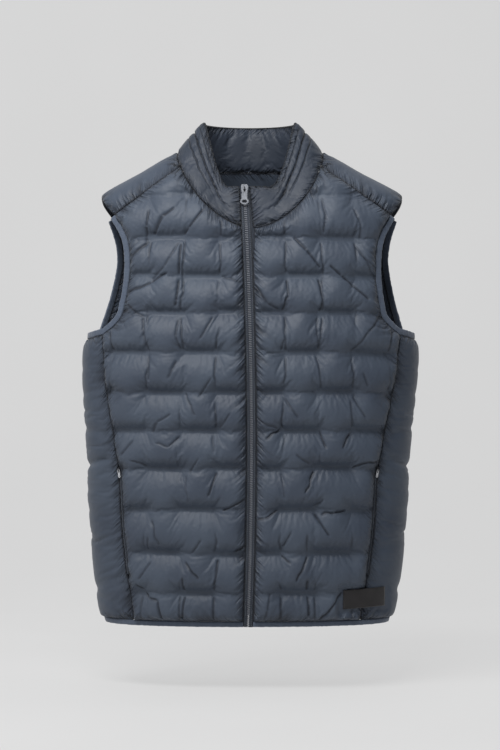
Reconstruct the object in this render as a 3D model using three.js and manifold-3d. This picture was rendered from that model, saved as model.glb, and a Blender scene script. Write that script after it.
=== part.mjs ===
// A quilted sleeveless jacket with a stand collar, an open-ended front zip and two side pockets,
// standing hollow as it does when worn. Millimetres, +Z up, front towards -Y, wearer's left at +X.
// The origin is between the shoulder points, at the height where the collar meets the shoulders.
import * as THREE from "three";
import { mergeVertices } from "three/addons/utils/BufferGeometryUtils.js";
import Module from "manifold-3d";

const wasm = await Module();
wasm.setup();

// The worn form that the cloth lies on: one superellipse ring at each height.
const FORM = [
  { height: 8, halfWidth: 92, front: 33, back: 35 },
  { height: 0, halfWidth: 103, front: 40, back: 44 },
  { height: -16, halfWidth: 129, front: 54, back: 58 },
  { height: -33, halfWidth: 157, front: 65, back: 68 },
  { height: -50, halfWidth: 190, front: 74, back: 76 },
  { height: -62, halfWidth: 211, front: 79, back: 81 },
  { height: -74, halfWidth: 220, front: 83, back: 84 },
  { height: -95, halfWidth: 224, front: 88, back: 88 },
  { height: -130, halfWidth: 226, front: 94, back: 93 },
  { height: -180, halfWidth: 228.5, front: 100, back: 97 },
  { height: -230, halfWidth: 231.5, front: 105, back: 98 },
  { height: -270, halfWidth: 234, front: 108, back: 97 },
  { height: -300, halfWidth: 234, front: 109, back: 95 },
  { height: -350, halfWidth: 231, front: 108, back: 91 },
  { height: -400, halfWidth: 227, front: 106, back: 88 },
  { height: -450, halfWidth: 223.5, front: 104, back: 86 },
  { height: -490, halfWidth: 223, front: 103, back: 85 },
  { height: -535, halfWidth: 219, front: 102, back: 85 },
  { height: -580, halfWidth: 215.5, front: 101, back: 86 },
  { height: -625, halfWidth: 210, front: 99, back: 86 },
  { height: -655, halfWidth: 206, front: 95, back: 84 },
  { height: -682, halfWidth: 199, front: 90, back: 80 },
];
const SQUARENESS = 2.3;

// Half the width of the front and back panels at each height, measured square to the middle.
const SIDE_SEAM = [
  { height: -682, front: 157, back: 162 },
  { height: -640, front: 162, back: 168 },
  { height: -602, front: 168, back: 174 },
  { height: -570, front: 172, back: 178 },
  { height: -532, front: 176, back: 182 },
  { height: -500, front: 178, back: 184 },
  { height: -462, front: 180, back: 186 },
  { height: -434, front: 185, back: 190 },
  { height: -396, front: 191, back: 195 },
  { height: -354, front: 199, back: 202 },
  { height: -314, front: 205, back: 208 },
  { height: -261, front: 209, back: 216 },
];
const ARMHOLE = [
  { height: -261, front: 209, back: 216 },
  { height: -251, front: 196, back: 213 },
  { height: -237, front: 184, back: 208.5 },
  { height: -217, front: 178.5, back: 202.5 },
  { height: -197, front: 175, back: 197.5 },
  { height: -176, front: 173, back: 193 },
  { height: -153, front: 173, back: 190 },
  { height: -130, front: 176, back: 191.5 },
  { height: -111, front: 183, back: 196 },
  { height: -91, front: 195, back: 203 },
];
const HEM = -671.5;
const HEM_TOP = -663.5;

// Levels that the panels share, from hem to shoulder, and the grid steps up to the next level.
const LEVELS = [
  { name: "hem", height: HEM_TOP, steps: 4 },
  { name: "quilt", height: -624, steps: 4 },
  { name: "quilt", height: -568, steps: 4 },
  { name: "quilt", height: -508, steps: 4 },
  { name: "quilt", height: -449, steps: 4 },
  { name: "quilt", height: -396, steps: 4 },
  { name: "quilt", height: -342, steps: 4 },
  { name: "quilt", height: -287, steps: 2 },
  { name: "armpit", height: -261, steps: 3 },
  { name: "quilt", height: -231, steps: 4 },
  { name: "quilt", height: -179, steps: 4 },
  { name: "quilt", height: -126, steps: 1 },
  { name: "front neck", height: -112, steps: 2 },
  { name: "shoulder point", height: -91, steps: 2 },
  { name: "quilt", height: -66, steps: 4 },
  { name: "back neck", height: -22, steps: 0 },
];
// The garment hangs a little to one side: how far its middle stands from x = 0 at each height.
const SWAY = [
  { height: -671, shift: -5 },
  { height: -550, shift: -3.6 },
  { height: -450, shift: -3.2 },
  { height: -350, shift: -1.6 },
  { height: -300, shift: 0 },
  { height: -240, shift: 1.5 },
  { height: -160, shift: 3.3 },
  { height: -90, shift: 3 },
  { height: -20, shift: 0 },
  { height: 20, shift: -1 },
];
// Soft folds across a side panel: height at its front and back seams, depth and half breadth.
const SIDE_FOLDS = [
  { front: -330, back: -352, depth: 2.6, reach: 13 },
  { front: -398, back: -380, depth: 2.8, reach: 14 },
  { front: -442, back: -462, depth: 4.2, reach: 12 },
  { front: -560, back: -520, depth: 2.4, reach: 18 },
  { front: -600, back: -640, depth: 3.0, reach: 16 },
];

const ARMPIT = -261;
const FRONT_NECK = -112;
const SHOULDER_POINT = -91;
const BACK_NECK = -22;
const NECK_HALF_WIDTH = 103;
const NECK_CURVE = 1.7;
const YOKE_TIP_WIDTH = { front: 195, back: 203 };
const RIDGE_DROP = -66;
const ARMPIT_DIP = 6;
const DIP_FROM = -287;

const SEAM_GAP = 0.32;
const YOKE_GAP = 0.5;
const WALL = 1.2; // half the thickness of the cloth where it is sewn down
const ZIP_HALF_GAP = 7;
const ZIP_BOW = { middle: 1.4, height: -417, reach: 340, depth: 8.8 };

const PUFF = 11;
const PUFF_REACH = 12;
const PUFF_ROUND = 1.35;
const EDGE_PUFF_REACH = 9;
const BOND_HALF = 2.5; // half the height of a bonded line
const BRICK = 48.5;
const FRONT_FIRST_BRICK = 46;
const CREASE_SHARE = 0.3;
const CREASE_REACH = 5;
const SIDE_PUFF = 6.5;
const YOKE_PUFF = 4;

const COLLAR = {
  topWidth: 66,
  topFront: 72,
  topBack: 66,
  front: -57,
  back: 46,
  turnFrom: 14,
  turnTo: 88,
  leanTo: 30,
};
const COLLAR_LIFT = 0.45;
const COLLAR_PUFF = { front: 5.5, side: 1.5, from: 40, to: 80, inner: 6 };
const COLLAR_EDGE = 2;
const COLLAR_CREASE = { start: 20, end: 42, low: 0.34, high: 0.66, reach: 0.13, depth: 3.2 };

const BINDING_WIDTH = 9;
const LABEL = {
  left: 133,
  right: 191,
  top: -618.5,
  bottom: -645.5,
  skew: 1.2,
  lift: 5.2,
  thick: 0.8,
  press: 4,
  easeFrom: 6,
  easeOver: 18,
};
const POCKET = { top: -444, bottom: -606, gap: 1.7, ease: 5, pull: -452 };

const COLLAR_ROWS = 6;
const BINDING_HALF = 1.5;
const HEM_STATIONS = 56;
const TEETH_HALF = 2.5;
const TEETH_DEPTH = 1.5;
const TAPE_HALF = 0.8;
const POCKET_TEETH = 1.4;
const LABEL_COLUMNS = 8;
const LABEL_ROWS = 4;

// Sliders and pulls, drawn across and up from the point that the pull swings about.
const SLIDER = {
  height: -57,
  outline: [
    [3.2, -7.5],
    [4.6, -2],
    [5.2, 4],
    [4.4, 6.6],
    [2.4, 7.5],
  ],
  channel: 2.1,
  post: { half: 1.2, from: -0.4, to: 7 },
  swivel: { centre: 4.7, ring: 2.7, bar: 0.8, top: 3.4 },
};
const PULL = {
  length: 24.5,
  neck: 8,
  eye: 0.8,
  slot: 3.4,
  slotEnd: 8,
  ring: 10,
  ringWidth: 12,
  hole: 5,
  holeWidth: 7.5,
  thick: 1.4,
};
const POCKET_SLIDER = {
  outline: [
    [1.4, -3.2],
    [1.4, 3.2],
  ],
  channel: 0.5,
  post: { half: 1.2, from: -3, to: 3 },
  swivel: { centre: 2.85, ring: 1.65, bar: 0.45, top: 2 },
};
const POCKET_PULL = {
  length: 11,
  neck: 3.4,
  eye: 0.5,
  slot: 1.6,
  slotEnd: 4.2,
  ring: 4,
  ringWidth: 3.8,
  hole: 1.4,
  holeWidth: 1.4,
  thick: 0.8,
};

const FABRIC = new THREE.MeshStandardMaterial({ color: 0x4a5361, roughness: 0.5, metalness: 0 });
const SMOOTH_FABRIC = new THREE.MeshStandardMaterial({ color: 0x465060, roughness: 0.5, metalness: 0 });
const ELASTIC = new THREE.MeshStandardMaterial({ color: 0x4b5668, roughness: 0.75, metalness: 0 });
const TAPE = new THREE.MeshStandardMaterial({ color: 0x2b323d, roughness: 0.8, metalness: 0 });
const TEETH = new THREE.MeshStandardMaterial({ color: 0x5b606a, roughness: 0.4, metalness: 0 });
const METAL = new THREE.MeshStandardMaterial({ color: 0x9a9da3, roughness: 0.3, metalness: 1 });
const BLACK_LABEL = new THREE.MeshStandardMaterial({ color: 0x1b1a1a, roughness: 0.7, metalness: 0 });

const clamp = THREE.MathUtils.clamp;
const lerp = THREE.MathUtils.lerp;
const smooth = (t) => THREE.MathUtils.smoothstep(t, 0, 1);

// A column of a table at a height, along a smooth curve through its rows.
function along(table, column, height) {
  const rising = table[0].height < table[table.length - 1].height ? table : [...table].reverse();
  const last = rising.length - 1;
  const z = clamp(height, rising[0].height, rising[last].height);
  const i = clamp(rising.findIndex((row) => row.height >= z) - 1, 0, last - 1);
  const value = (k) => rising[clamp(k, 0, last)][column];
  const place = (k) => rising[clamp(k, 0, last)].height;
  const step = place(i + 1) - place(i);
  const slope = (k) => (value(k + 1) - value(k - 1)) / (place(k + 1) - place(k - 1));
  const t = (z - place(i)) / step;
  return (
    value(i) * (1 + 2 * t) * (1 - t) ** 2 +
    slope(i) * step * t * (1 - t) ** 2 +
    value(i + 1) * t * t * (3 - 2 * t) +
    slope(i + 1) * step * t * t * (t - 1)
  );
}

// A point of the form. turn runs from 0 at the middle front to 1 at the side and 2 at the middle back.
function onForm(turn, height) {
  const angle = (turn * Math.PI) / 2;
  const depth = turn < 1 ? -along(FORM, "front", height) : along(FORM, "back", height);
  const power = 2 / SQUARENESS;
  return new THREE.Vector3(
    along(FORM, "halfWidth", height) * Math.max(Math.sin(angle), 0) ** power,
    depth * Math.abs(Math.cos(angle)) ** power,
    height,
  );
}

function turnAt(x, height, face) {
  const share = clamp(x / along(FORM, "halfWidth", height), 0, 1);
  const turn = Math.asin(share ** (SQUARENESS / 2)) / (Math.PI / 2);
  return face === "front" ? turn : 2 - turn;
}

function formNormal(turn, height) {
  const d = 0.004;
  const across = onForm(Math.min(turn + d, 2), height).sub(onForm(Math.max(turn - d, 0), height));
  const up = onForm(turn, height + 1).sub(onForm(turn, height - 1));
  return across.cross(up).normalize();
}

function offForm(turn, height, out) {
  return onForm(turn, height).addScaledVector(formNormal(turn, height), out);
}

const zipX = (height) => ZIP_BOW.middle - ZIP_BOW.depth * ((height - ZIP_BOW.height) / ZIP_BOW.reach) ** 2;
const sway = (height) => along(SWAY, "shift", height);
const zipLean = (height) => zipX(height) - sway(height);
const neckX = (height) =>
  NECK_HALF_WIDTH * (1 - clamp(height / FRONT_NECK, 0, 1) ** NECK_CURVE) ** (1 / NECK_CURVE);

function yokeX(height, face) {
  return lerp(neckX(BACK_NECK), YOKE_TIP_WIDTH[face], (height - BACK_NECK) / (SHOULDER_POINT - BACK_NECK));
}

// Half the breadth that the pocket opening takes out of the side seam.
function pocketGap(height) {
  const inside = Math.min(POCKET.top - height, height - POCKET.bottom);
  return POCKET.gap * smooth(inside / POCKET.ease);
}

function panelEdge(height, face) {
  if (height > SHOULDER_POINT) return yokeX(height, face);
  if (height > ARMPIT) return along(ARMHOLE, face, height);
  const seam = along(SIDE_SEAM, face, height) - SEAM_GAP / 2;
  return face === "front" ? seam - pocketGap(height) : seam;
}

function levelHeights(from, to) {
  const heights = [];
  LEVELS.forEach((level, i) => {
    if (level.height < from - 0.01 || level.height >= to - 0.01) return;
    for (let k = 0; k < level.steps; k += 1)
      heights.push(lerp(level.height, LEVELS[i + 1].height, k / level.steps));
  });
  return [...heights, to];
}

const QUILT_HEIGHTS = LEVELS.filter((level) => level.name === "quilt").map((level) => level.height);

// Bonded lines in alternate bricks, row by row, and the soft creases between their ends.
function quilting(firstBrick) {
  const bonds = [];
  const creases = [];
  const bricks = [-2, -1, 0, 1, 2, 3, 4].map((n) => firstBrick + n * BRICK);
  QUILT_HEIGHTS.forEach((height, row) => {
    bricks.forEach((x, n) => {
      if ((row + n) % 2 === 0) bonds.push({ x0: x, x1: x + BRICK, z0: height, z1: height });
      if (row > 0) creases.push({ x0: x, x1: x, z0: QUILT_HEIGHTS[row - 1], z1: height });
    });
  });
  return { bonds, creases };
}

function distanceTo(line, x, z) {
  const dx = Math.max(line.x0 - x, 0, x - line.x1);
  const dz = Math.max(line.z0 - z, 0, z - line.z1);
  return Math.hypot(dx, dz);
}

const FRONT_QUILT = quilting(FRONT_FIRST_BRICK);
const BACK_QUILT = quilting(BRICK / 2);

// How far the filled cloth stands out from where it is sewn, given its distance from the panel's edge.
function quiltRise(quilt, x, z, edge) {
  const gap = quilt.bonds.reduce((least, bond) => Math.min(least, distanceTo(bond, x, z) - BOND_HALF), 1e3);
  const crease = quilt.creases.reduce((least, line) => Math.min(least, distanceTo(line, x, z)), 1e3);
  const swell = 1 - Math.exp(-((Math.max(gap, 0) / PUFF_REACH) ** PUFF_ROUND));
  const border = 1 - Math.exp(-((Math.max(edge, 0) / EDGE_PUFF_REACH) ** PUFF_ROUND));
  return PUFF * swell * border * (1 - CREASE_SHARE * Math.exp(-((crease / CREASE_REACH) ** 2)));
}

// The label's own stitching holds the cloth down, on the wearer's left side only.
function pressed(rise, x, z, side) {
  if (side < 0) return rise;
  const away = distanceTo({ x0: LABEL.left, x1: LABEL.right, z0: LABEL.bottom, z1: LABEL.top }, x, z);
  return Math.min(rise, lerp(LABEL.press - WALL, PUFF, smooth((away - LABEL.easeFrom) / LABEL.easeOver)));
}

// A closed wall between an outer grid of points and an inner one that keeps every row and some columns.
function wall(columns, rows, skip, outerAt, innerAt) {
  const positions = [];
  const index = [];
  const outer = [];
  const inner = [];
  const seen = new Map();
  const push = (point) => {
    const key = [point.x, point.y, point.z].map((value) => value.toFixed(3)).join();
    if (!seen.has(key)) seen.set(key, positions.push(point.x, point.y, point.z) / 3 - 1);
    return seen.get(key);
  };
  for (let j = 0; j <= rows; j += 1) {
    outer.push([]);
    for (let i = 0; i <= columns; i += 1) outer[j].push(push(outerAt(i / columns, j)));
  }
  for (let j = 0; j <= rows; j += 1) {
    inner.push([]);
    for (let i = 0; i <= columns; i += skip) inner[j].push(push(innerAt(i / columns, j)));
  }
  const quads = (grid, flip) => {
    for (let j = 0; j < grid.length - 1; j += 1)
      for (let i = 0; i < grid[0].length - 1; i += 1) {
        const [a, b, c, d] = [grid[j][i], grid[j][i + 1], grid[j + 1][i + 1], grid[j + 1][i]];
        index.push(...(flip ? [a, c, b, a, d, c] : [a, b, c, a, c, d]));
      }
  };
  quads(outer, false);
  quads(inner, true);
  const rim = (line, short, step) => {
    for (let k = 0; k < short.length - 1; k += 1) {
      const middle = Math.ceil(step / 2);
      for (let i = 0; i < step; i += 1) {
        const near = i < middle ? short[k] : short[k + 1];
        index.push(line[k * step + i], near, line[k * step + i + 1]);
      }
      index.push(line[k * step + middle], short[k], short[k + 1]);
    }
  };
  const last = inner[0].length - 1;
  rim(outer[0], inner[0], skip);
  rim(outer.map((row) => row[columns]), inner.map((row) => row[last]), 1);
  rim([...outer[rows]].reverse(), [...inner[rows]].reverse(), skip);
  rim(outer.map((row) => row[0]).reverse(), inner.map((row) => row[0]).reverse(), 1);
  return solid(positions, index);
}

// A profile of (across, out) pairs carried along frames and capped at both ends.
function sweep(frames, profile) {
  const positions = [];
  const index = [];
  const n = profile.length;
  frames.forEach(({ at, across, out }) => {
    profile.forEach(([a, o]) => {
      const point = at.clone().addScaledVector(across, a).addScaledVector(out, o);
      positions.push(point.x, point.y, point.z);
    });
  });
  const count = frames.length;
  for (let k = 0; k < count - 1; k += 1)
    for (let i = 0; i < n; i += 1) {
      const [a, b] = [k * n + i, k * n + ((i + 1) % n)];
      index.push(a, b, b + n, a, b + n, a + n);
    }
  const end = (count - 1) * n;
  for (let i = 1; i < n - 1; i += 1) index.push(0, i + 1, i, end, end + i, end + i + 1);
  return solid(positions, index);
}

// A geometry whose faces point outwards, whichever way round its grid ran.
function solid(positions, corners) {
  const index = [];
  for (let i = 0; i < corners.length; i += 3) {
    const face = corners.slice(i, i + 3);
    if (new Set(face).size === 3) index.push(...face);
  }
  let volume = 0;
  const at = (k) => new THREE.Vector3(...positions.slice(3 * k, 3 * k + 3));
  for (let i = 0; i < index.length; i += 3)
    volume += at(index[i]).dot(at(index[i + 1]).cross(at(index[i + 2])));
  if (volume < 0)
    for (let i = 0; i < index.length; i += 3) [index[i + 1], index[i + 2]] = [index[i + 2], index[i + 1]];
  const geometry = new THREE.BufferGeometry();
  geometry.setAttribute("position", new THREE.Float32BufferAttribute(positions, 3));
  geometry.setIndex(index);
  geometry.computeVertexNormals();
  return geometry;
}

const jacket = new THREE.Group();

function add(name, geometry, material) {
  const mesh = new THREE.Mesh(geometry, material);
  mesh.name = name;
  jacket.add(mesh);
  return mesh;
}

const flipped = (direction, side) => new THREE.Vector3(direction.x * side, direction.y, direction.z);
const worn = (point, side) => flipped(point, side).add(new THREE.Vector3(sway(point.z), 0, 0));
const sideName = (side) => (side > 0 ? "left" : "right");

const PANEL_HEIGHTS = levelHeights(HEM_TOP, BACK_NECK);
const SIDE_HEIGHTS = levelHeights(HEM_TOP, ARMPIT);
const YOKE_HEIGHTS = levelHeights(SHOULDER_POINT, BACK_NECK);
const FRONT_COLUMNS = 14;
const BACK_COLUMNS = 30;
const SIDE_COLUMNS = 8;
const YOKE_COLUMNS = 8;
const BRICK_COLUMNS = 4;
const EVEN_FROM = -130;

// Distances from the neckline and from the yoke seam, for the cloth near them.
function neckDistance(x, height, face) {
  if (face === "back") return BACK_NECK - height;
  const share = clamp(x / NECK_HALF_WIDTH, 0, 1);
  const below = FRONT_NECK * (1 - share ** NECK_CURVE) ** (1 / NECK_CURVE) - height;
  const beside = height > FRONT_NECK ? x - neckX(height) : 1e3;
  return (Math.max(below, 0) * Math.max(beside, 0)) / Math.max(Math.hypot(below, beside), 1e-6);
}

function yokeDistance(x, height, face) {
  const run = YOKE_TIP_WIDTH[face] - neckX(BACK_NECK);
  const fall = BACK_NECK - SHOULDER_POINT;
  return ((yokeX(height, face) - x) * fall) / Math.hypot(run, fall);
}

// Columns follow the ends of the bonded lines up to the armhole, then spread evenly to the neck.
function columnX(inside, outside, share, firstLine, bricks, margin) {
  const columns = bricks * BRICK_COLUMNS + margin * 2;
  const k = share * columns;
  const lastLine = firstLine + bricks * BRICK;
  if (k < margin) return lerp(inside, firstLine, k / margin);
  if (k > columns - margin) return lerp(outside, lastLine, (columns - k) / margin);
  return lerp(firstLine, lastLine, (k - margin) / (columns - 2 * margin));
}

function spread(aligned, inside, outside, share, height) {
  const even = lerp(inside, outside, share);
  return lerp(aligned, even, smooth((height - EVEN_FROM) / (FRONT_NECK - EVEN_FROM)));
}

// One front panel: from the zip or the neckline out to the side seam, armhole or yoke.
function frontSpan(height, side) {
  if (height === BACK_NECK) return [neckX(height), neckX(height)];
  const zipEdge = ZIP_HALF_GAP + side * zipLean(height);
  return [height > FRONT_NECK ? neckX(height) : zipEdge, panelEdge(height, "front")];
}

function frontPanel(side) {
  const place = (share, row) => {
    const height = PANEL_HEIGHTS[row];
    const [inside, outside] = frontSpan(height, side);
    const aligned = columnX(inside, outside, share, FRONT_FIRST_BRICK, 2, 3);
    return { x: spread(aligned, inside, outside, share, height), inside, outside, height };
  };
  const outer = (share, row) => {
    const { x, inside, outside, height } = place(share, row);
    const seams = [x - inside, outside - x, height - HEM_TOP];
    const edge = Math.min(...seams, neckDistance(x, height, "front"), yokeDistance(x, height, "front"));
    const rise = pressed(quiltRise(FRONT_QUILT, x, height, edge), x, height, side);
    return worn(offForm(turnAt(x, height, "front"), height, WALL + rise), side);
  };
  const inner = (share, row) => {
    const { x, height } = place(share, row);
    return worn(offForm(turnAt(x, height, "front"), height, -WALL), side);
  };
  return wall(FRONT_COLUMNS, PANEL_HEIGHTS.length - 1, 2, outer, inner);
}

function backX(share, height) {
  const edge = panelEdge(height, "back");
  return spread(columnX(-edge, edge, share, -3 * BRICK, 6, 3), -edge, edge, share, height);
}

function backPanel() {
  const point = (share, row, outside) => {
    const height = PANEL_HEIGHTS[row];
    const x = backX(share, height);
    const across = Math.abs(x);
    const seams = [panelEdge(height, "back") - across, height - HEM_TOP];
    seams.push(neckDistance(across, height, "back"), yokeDistance(across, height, "back"));
    const edge = Math.min(...seams);
    const offset = outside ? WALL + quiltRise(BACK_QUILT, across, height, edge) : -WALL;
    return worn(offForm(turnAt(across, height, "back"), height, offset), x < 0 ? -1 : 1);
  };
  return wall(
    BACK_COLUMNS,
    PANEL_HEIGHTS.length - 1,
    3,
    (share, row) => point(share, row, true),
    (share, row) => point(share, row, false),
  );
}

// The side panel wraps from the front seam round to the back seam.
function sideSpan(height) {
  const front = along(SIDE_SEAM, "front", height) + SEAM_GAP / 2 + pocketGap(height);
  const back = along(SIDE_SEAM, "back", height) + SEAM_GAP / 2;
  return [turnAt(front, height, "front"), turnAt(back, height, "back")];
}

function sideHeight(share, row) {
  const near = smooth((SIDE_HEIGHTS[row] - DIP_FROM) / (ARMPIT - DIP_FROM));
  return SIDE_HEIGHTS[row] - ARMPIT_DIP * Math.sin(Math.PI * share) * near;
}

function sideRise(share, height, x, side) {
  const across = Math.sin(Math.PI * share) ** 0.6;
  const top = ARMPIT - ARMPIT_DIP * Math.sin(Math.PI * share);
  const ends = smooth((height - HEM_TOP) / 18) * smooth((top - height) / 16);
  const folds = SIDE_FOLDS.reduce((sum, fold) => {
    const centre = lerp(fold.front, fold.back, share) + 9 * side * Math.sin(5 * share);
    return sum + fold.depth * Math.exp(-(((height - centre) / fold.reach) ** 2));
  }, 0);
  const rise = across * ends * (SIDE_PUFF - folds);
  return pressed(Math.max(rise, 0), x, height, side);
}

function sidePanel(side) {
  const point = (share, row, out) => {
    const height = sideHeight(share, row);
    const [from, to] = sideSpan(height);
    const turn = lerp(from, to, share);
    const x = turn < 1 ? onForm(turn, height).x : 1e3;
    const offset = out ? WALL + sideRise(share, height, x, side) : -WALL;
    return worn(offForm(turn, height, offset), side);
  };
  return wall(
    SIDE_COLUMNS,
    SIDE_HEIGHTS.length - 1,
    1,
    (share, row) => point(share, row, true),
    (share, row) => point(share, row, false),
  );
}

// The shoulder yoke lies over the ridge of the shoulder, from the front seam to the back seam.
function yokePlace(share, row) {
  const seam = YOKE_HEIGHTS[row];
  const ridge = lerp(0, RIDGE_DROP, (seam - BACK_NECK) / (SHOULDER_POINT - BACK_NECK));
  const height = lerp(seam, ridge, 4 * share * (1 - share));
  const from = turnAt(yokeX(seam, "front") + YOKE_GAP, seam, "front");
  const to = turnAt(yokeX(seam, "back") + YOKE_GAP, seam, "back");
  return [lerp(from, to, share), height];
}

function yoke(side) {
  const rows = YOKE_HEIGHTS.length - 1;
  const point = (share, row, out) => {
    const [turn, height] = yokePlace(share, row);
    const swell = Math.sin(Math.PI * share) ** 0.7 * smooth(Math.min(row, rows - row) / 1.5);
    return worn(offForm(turn, height, out ? WALL + YOKE_PUFF * swell : -WALL), side);
  };
  return wall(
    YOKE_COLUMNS,
    rows,
    2,
    (share, row) => point(share, row, true),
    (share, row) => point(share, row, false),
  );
}

// The neckline from the middle front round to the middle back, at the corners of the panels below it.
function neckCorners(side) {
  const corners = [];
  PANEL_HEIGHTS.filter((height) => height >= FRONT_NECK).forEach((height) => {
    corners.push([turnAt(frontSpan(height, side)[0], height, "front"), height]);
  });
  for (let k = 1; k < YOKE_COLUMNS; k += 1)
    corners.push(yokePlace(k / YOKE_COLUMNS, YOKE_HEIGHTS.length - 1));
  for (let k = 0; k <= BACK_COLUMNS / 2; k += 1)
    corners.push([turnAt(Math.abs(backX(k / BACK_COLUMNS, BACK_NECK)), BACK_NECK, "back"), BACK_NECK]);
  return corners;
}

// The collar's top edge, by the angle seen from above: 0 at the middle front, 180 at the middle back.
function collarTop(angle, side) {
  const radians = THREE.MathUtils.degToRad(angle);
  const depth = angle <= 90 ? COLLAR.topFront : COLLAR.topBack;
  const climb = smooth((angle - COLLAR.turnFrom) / (COLLAR.turnTo - COLLAR.turnFrom));
  const lean = side * zipLean(COLLAR.front) * Math.exp(-((angle / COLLAR.leanTo) ** 2));
  return new THREE.Vector3(
    COLLAR.topWidth * Math.sin(radians) + lean,
    -depth * Math.cos(radians),
    lerp(COLLAR.front, COLLAR.back, climb),
  );
}

function collarSide(side) {
  const ribs = neckCorners(side).map(([turn, height]) => {
    const base = onForm(turn, height);
    const angle = THREE.MathUtils.radToDeg(Math.atan2(base.x, -base.y));
    return { base, angle, seamNormal: formNormal(turn, height), top: collarTop(angle, side) };
  });
  ribs[0].top.x = ZIP_HALF_GAP + side * zipLean(COLLAR.front);
  ribs.forEach((rib, k) => {
    const before = ribs[Math.max(k - 1, 0)];
    const after = ribs[Math.min(k + 1, ribs.length - 1)];
    const across = after.base.clone().add(after.top).sub(before.base).sub(before.top);
    rib.normal = across.cross(rib.top.clone().sub(rib.base)).normalize();
  });
  return ribs;
}

function collarPoint(rib, up, outside) {
  const height = rib.base.distanceTo(rib.top);
  const middle = rib.base.clone().lerp(rib.top, lerp(COLLAR_LIFT / height, 1, up));
  const normal = rib.seamNormal.clone().lerp(rib.normal, smooth(up / 0.3)).normalize();
  const fromZip = Math.max(rib.base.distanceTo(rib.zip), 0);
  const swell = Math.sin(Math.PI * up) ** 0.7 * (1 - Math.exp(-((fromZip / EDGE_PUFF_REACH) ** PUFF_ROUND)));
  const crease = COLLAR_CREASE;
  const climb = smooth((rib.angle - crease.start) / (crease.end - crease.start));
  const line = lerp(crease.low, crease.high, climb);
  const onCrease = Math.exp(-(((up - line) / crease.reach) ** 2)) * smooth(rib.angle / crease.start);
  const edge = lerp(WALL, COLLAR_EDGE, smooth(up / 0.3));
  if (!outside) return middle.addScaledVector(normal, -edge - COLLAR_PUFF.inner * swell);
  const sideways = smooth((rib.angle - COLLAR_PUFF.from) / (COLLAR_PUFF.to - COLLAR_PUFF.from));
  const puff = lerp(COLLAR_PUFF.front, COLLAR_PUFF.side, sideways);
  return middle.addScaledVector(normal, edge + (puff - crease.depth * onCrease) * swell);
}

function collar() {
  const right = collarSide(-1);
  const left = collarSide(1);
  right.forEach((rib) => Object.assign(rib, { side: -1, zip: right[0].base }));
  left.forEach((rib) => Object.assign(rib, { side: 1, zip: left[0].base }));
  const ribs = [...right, ...left.slice(0, -1).reverse()];
  const point = (share, row, outside) => {
    const rib = ribs[Math.round(share * (ribs.length - 1))];
    return worn(collarPoint(rib, row / COLLAR_ROWS, outside), rib.side);
  };
  return wall(
    ribs.length - 1,
    COLLAR_ROWS,
    2,
    (share, row) => point(share, row, true),
    (share, row) => point(share, row, false),
  );
}

// Frames along a path: across points away from the sewn edge, out points away from the wearer.
function framesAlong(points, normals) {
  return points.map((at, k) => {
    const before = points[Math.max(k - 1, 0)];
    const after = points[Math.min(k + 1, points.length - 1)];
    const heading = after.clone().sub(before).normalize();
    const across = normals[k].clone().cross(heading).normalize();
    return { at, across, out: heading.clone().cross(across).normalize() };
  });
}

function band(from, to, low, high, round) {
  return [
    [from, low],
    [to - round, low],
    [to, low + round],
    [to, high - round],
    [to - round, high],
    [from, high],
  ];
}

// The elastic that binds an armhole from the front yoke seam, under the arm and up to the back one.
function armholeBinding(side) {
  const places = [];
  const edgeHeights = PANEL_HEIGHTS.filter((height) => height >= ARMPIT && height <= SHOULDER_POINT);
  const edge = (face, height) => [turnAt(along(ARMHOLE, face, height), height, face), height];
  [...edgeHeights].reverse().forEach((height) => places.push(edge("front", height)));
  for (let k = 1; k < SIDE_COLUMNS; k += 1) {
    const [from, to] = sideSpan(ARMPIT);
    const share = k / SIDE_COLUMNS;
    places.push([lerp(from, to, share), sideHeight(share, SIDE_HEIGHTS.length - 1)]);
  }
  edgeHeights.forEach((height) => places.push(edge("back", height)));
  const points = places.map(([turn, height]) => worn(onForm(turn, height), side));
  const normals = places.map(([turn, height]) => flipped(formNormal(turn, height), side));
  const frames = framesAlong(points, normals).map((frame) => ({
    ...frame,
    across: frame.across.clone().multiplyScalar(side),
  }));
  return sweep(frames, band(SEAM_GAP, SEAM_GAP + BINDING_WIDTH, -BINDING_HALF, BINDING_HALF, 1));
}

function hemBinding() {
  const edgeTurn = (side) => turnAt(ZIP_HALF_GAP + side * zipLean(HEM), HEM_TOP, "front");
  const points = [];
  const normals = [];
  for (let k = 0; k <= HEM_STATIONS; k += 1) {
    const round = lerp(-2 + edgeTurn(-1), 2 - edgeTurn(1), k / HEM_STATIONS);
    const [turn, side] = [2 - Math.abs(round), round < 0 ? -1 : 1];
    points.push(worn(onForm(turn, HEM_TOP), side));
    normals.push(flipped(formNormal(turn, HEM_TOP), side));
  }
  const frames = framesAlong(points, normals);
  return sweep(frames, band(SEAM_GAP, HEM_TOP - HEM, -BINDING_HALF, BINDING_HALF, 1));
}

// A point on the collar's front edge, where the zip ends.
function zipPoint(height) {
  const base = onForm(0, FRONT_NECK).setX(zipX(FRONT_NECK));
  const top = collarTop(0, 1).setX(zipX(COLLAR.front));
  return base.lerp(top, (height - FRONT_NECK) / (COLLAR.front - FRONT_NECK));
}

// The zip follows the middle front up to the neck seam, then the collar's front edge.
function zipPath(from, to) {
  const below = (height) => onForm(0, height).setX(zipX(height));
  const at = (height) => (height > FRONT_NECK ? zipPoint(height) : below(height));
  const heights = PANEL_HEIGHTS.filter((height) => height > from + 2 && height < FRONT_NECK + 1);
  const upper = [0.25, 0.5, 0.75].map((share) => lerp(FRONT_NECK, to, share));
  const points = [from, ...heights, ...upper, to].map(at);
  return framesAlong(points, points.map(() => new THREE.Vector3(0, -1, 0)));
}

const bar = (low, high, under, over) => [
  [low, under],
  [high, under],
  [high, over],
  [low, over],
];

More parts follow.
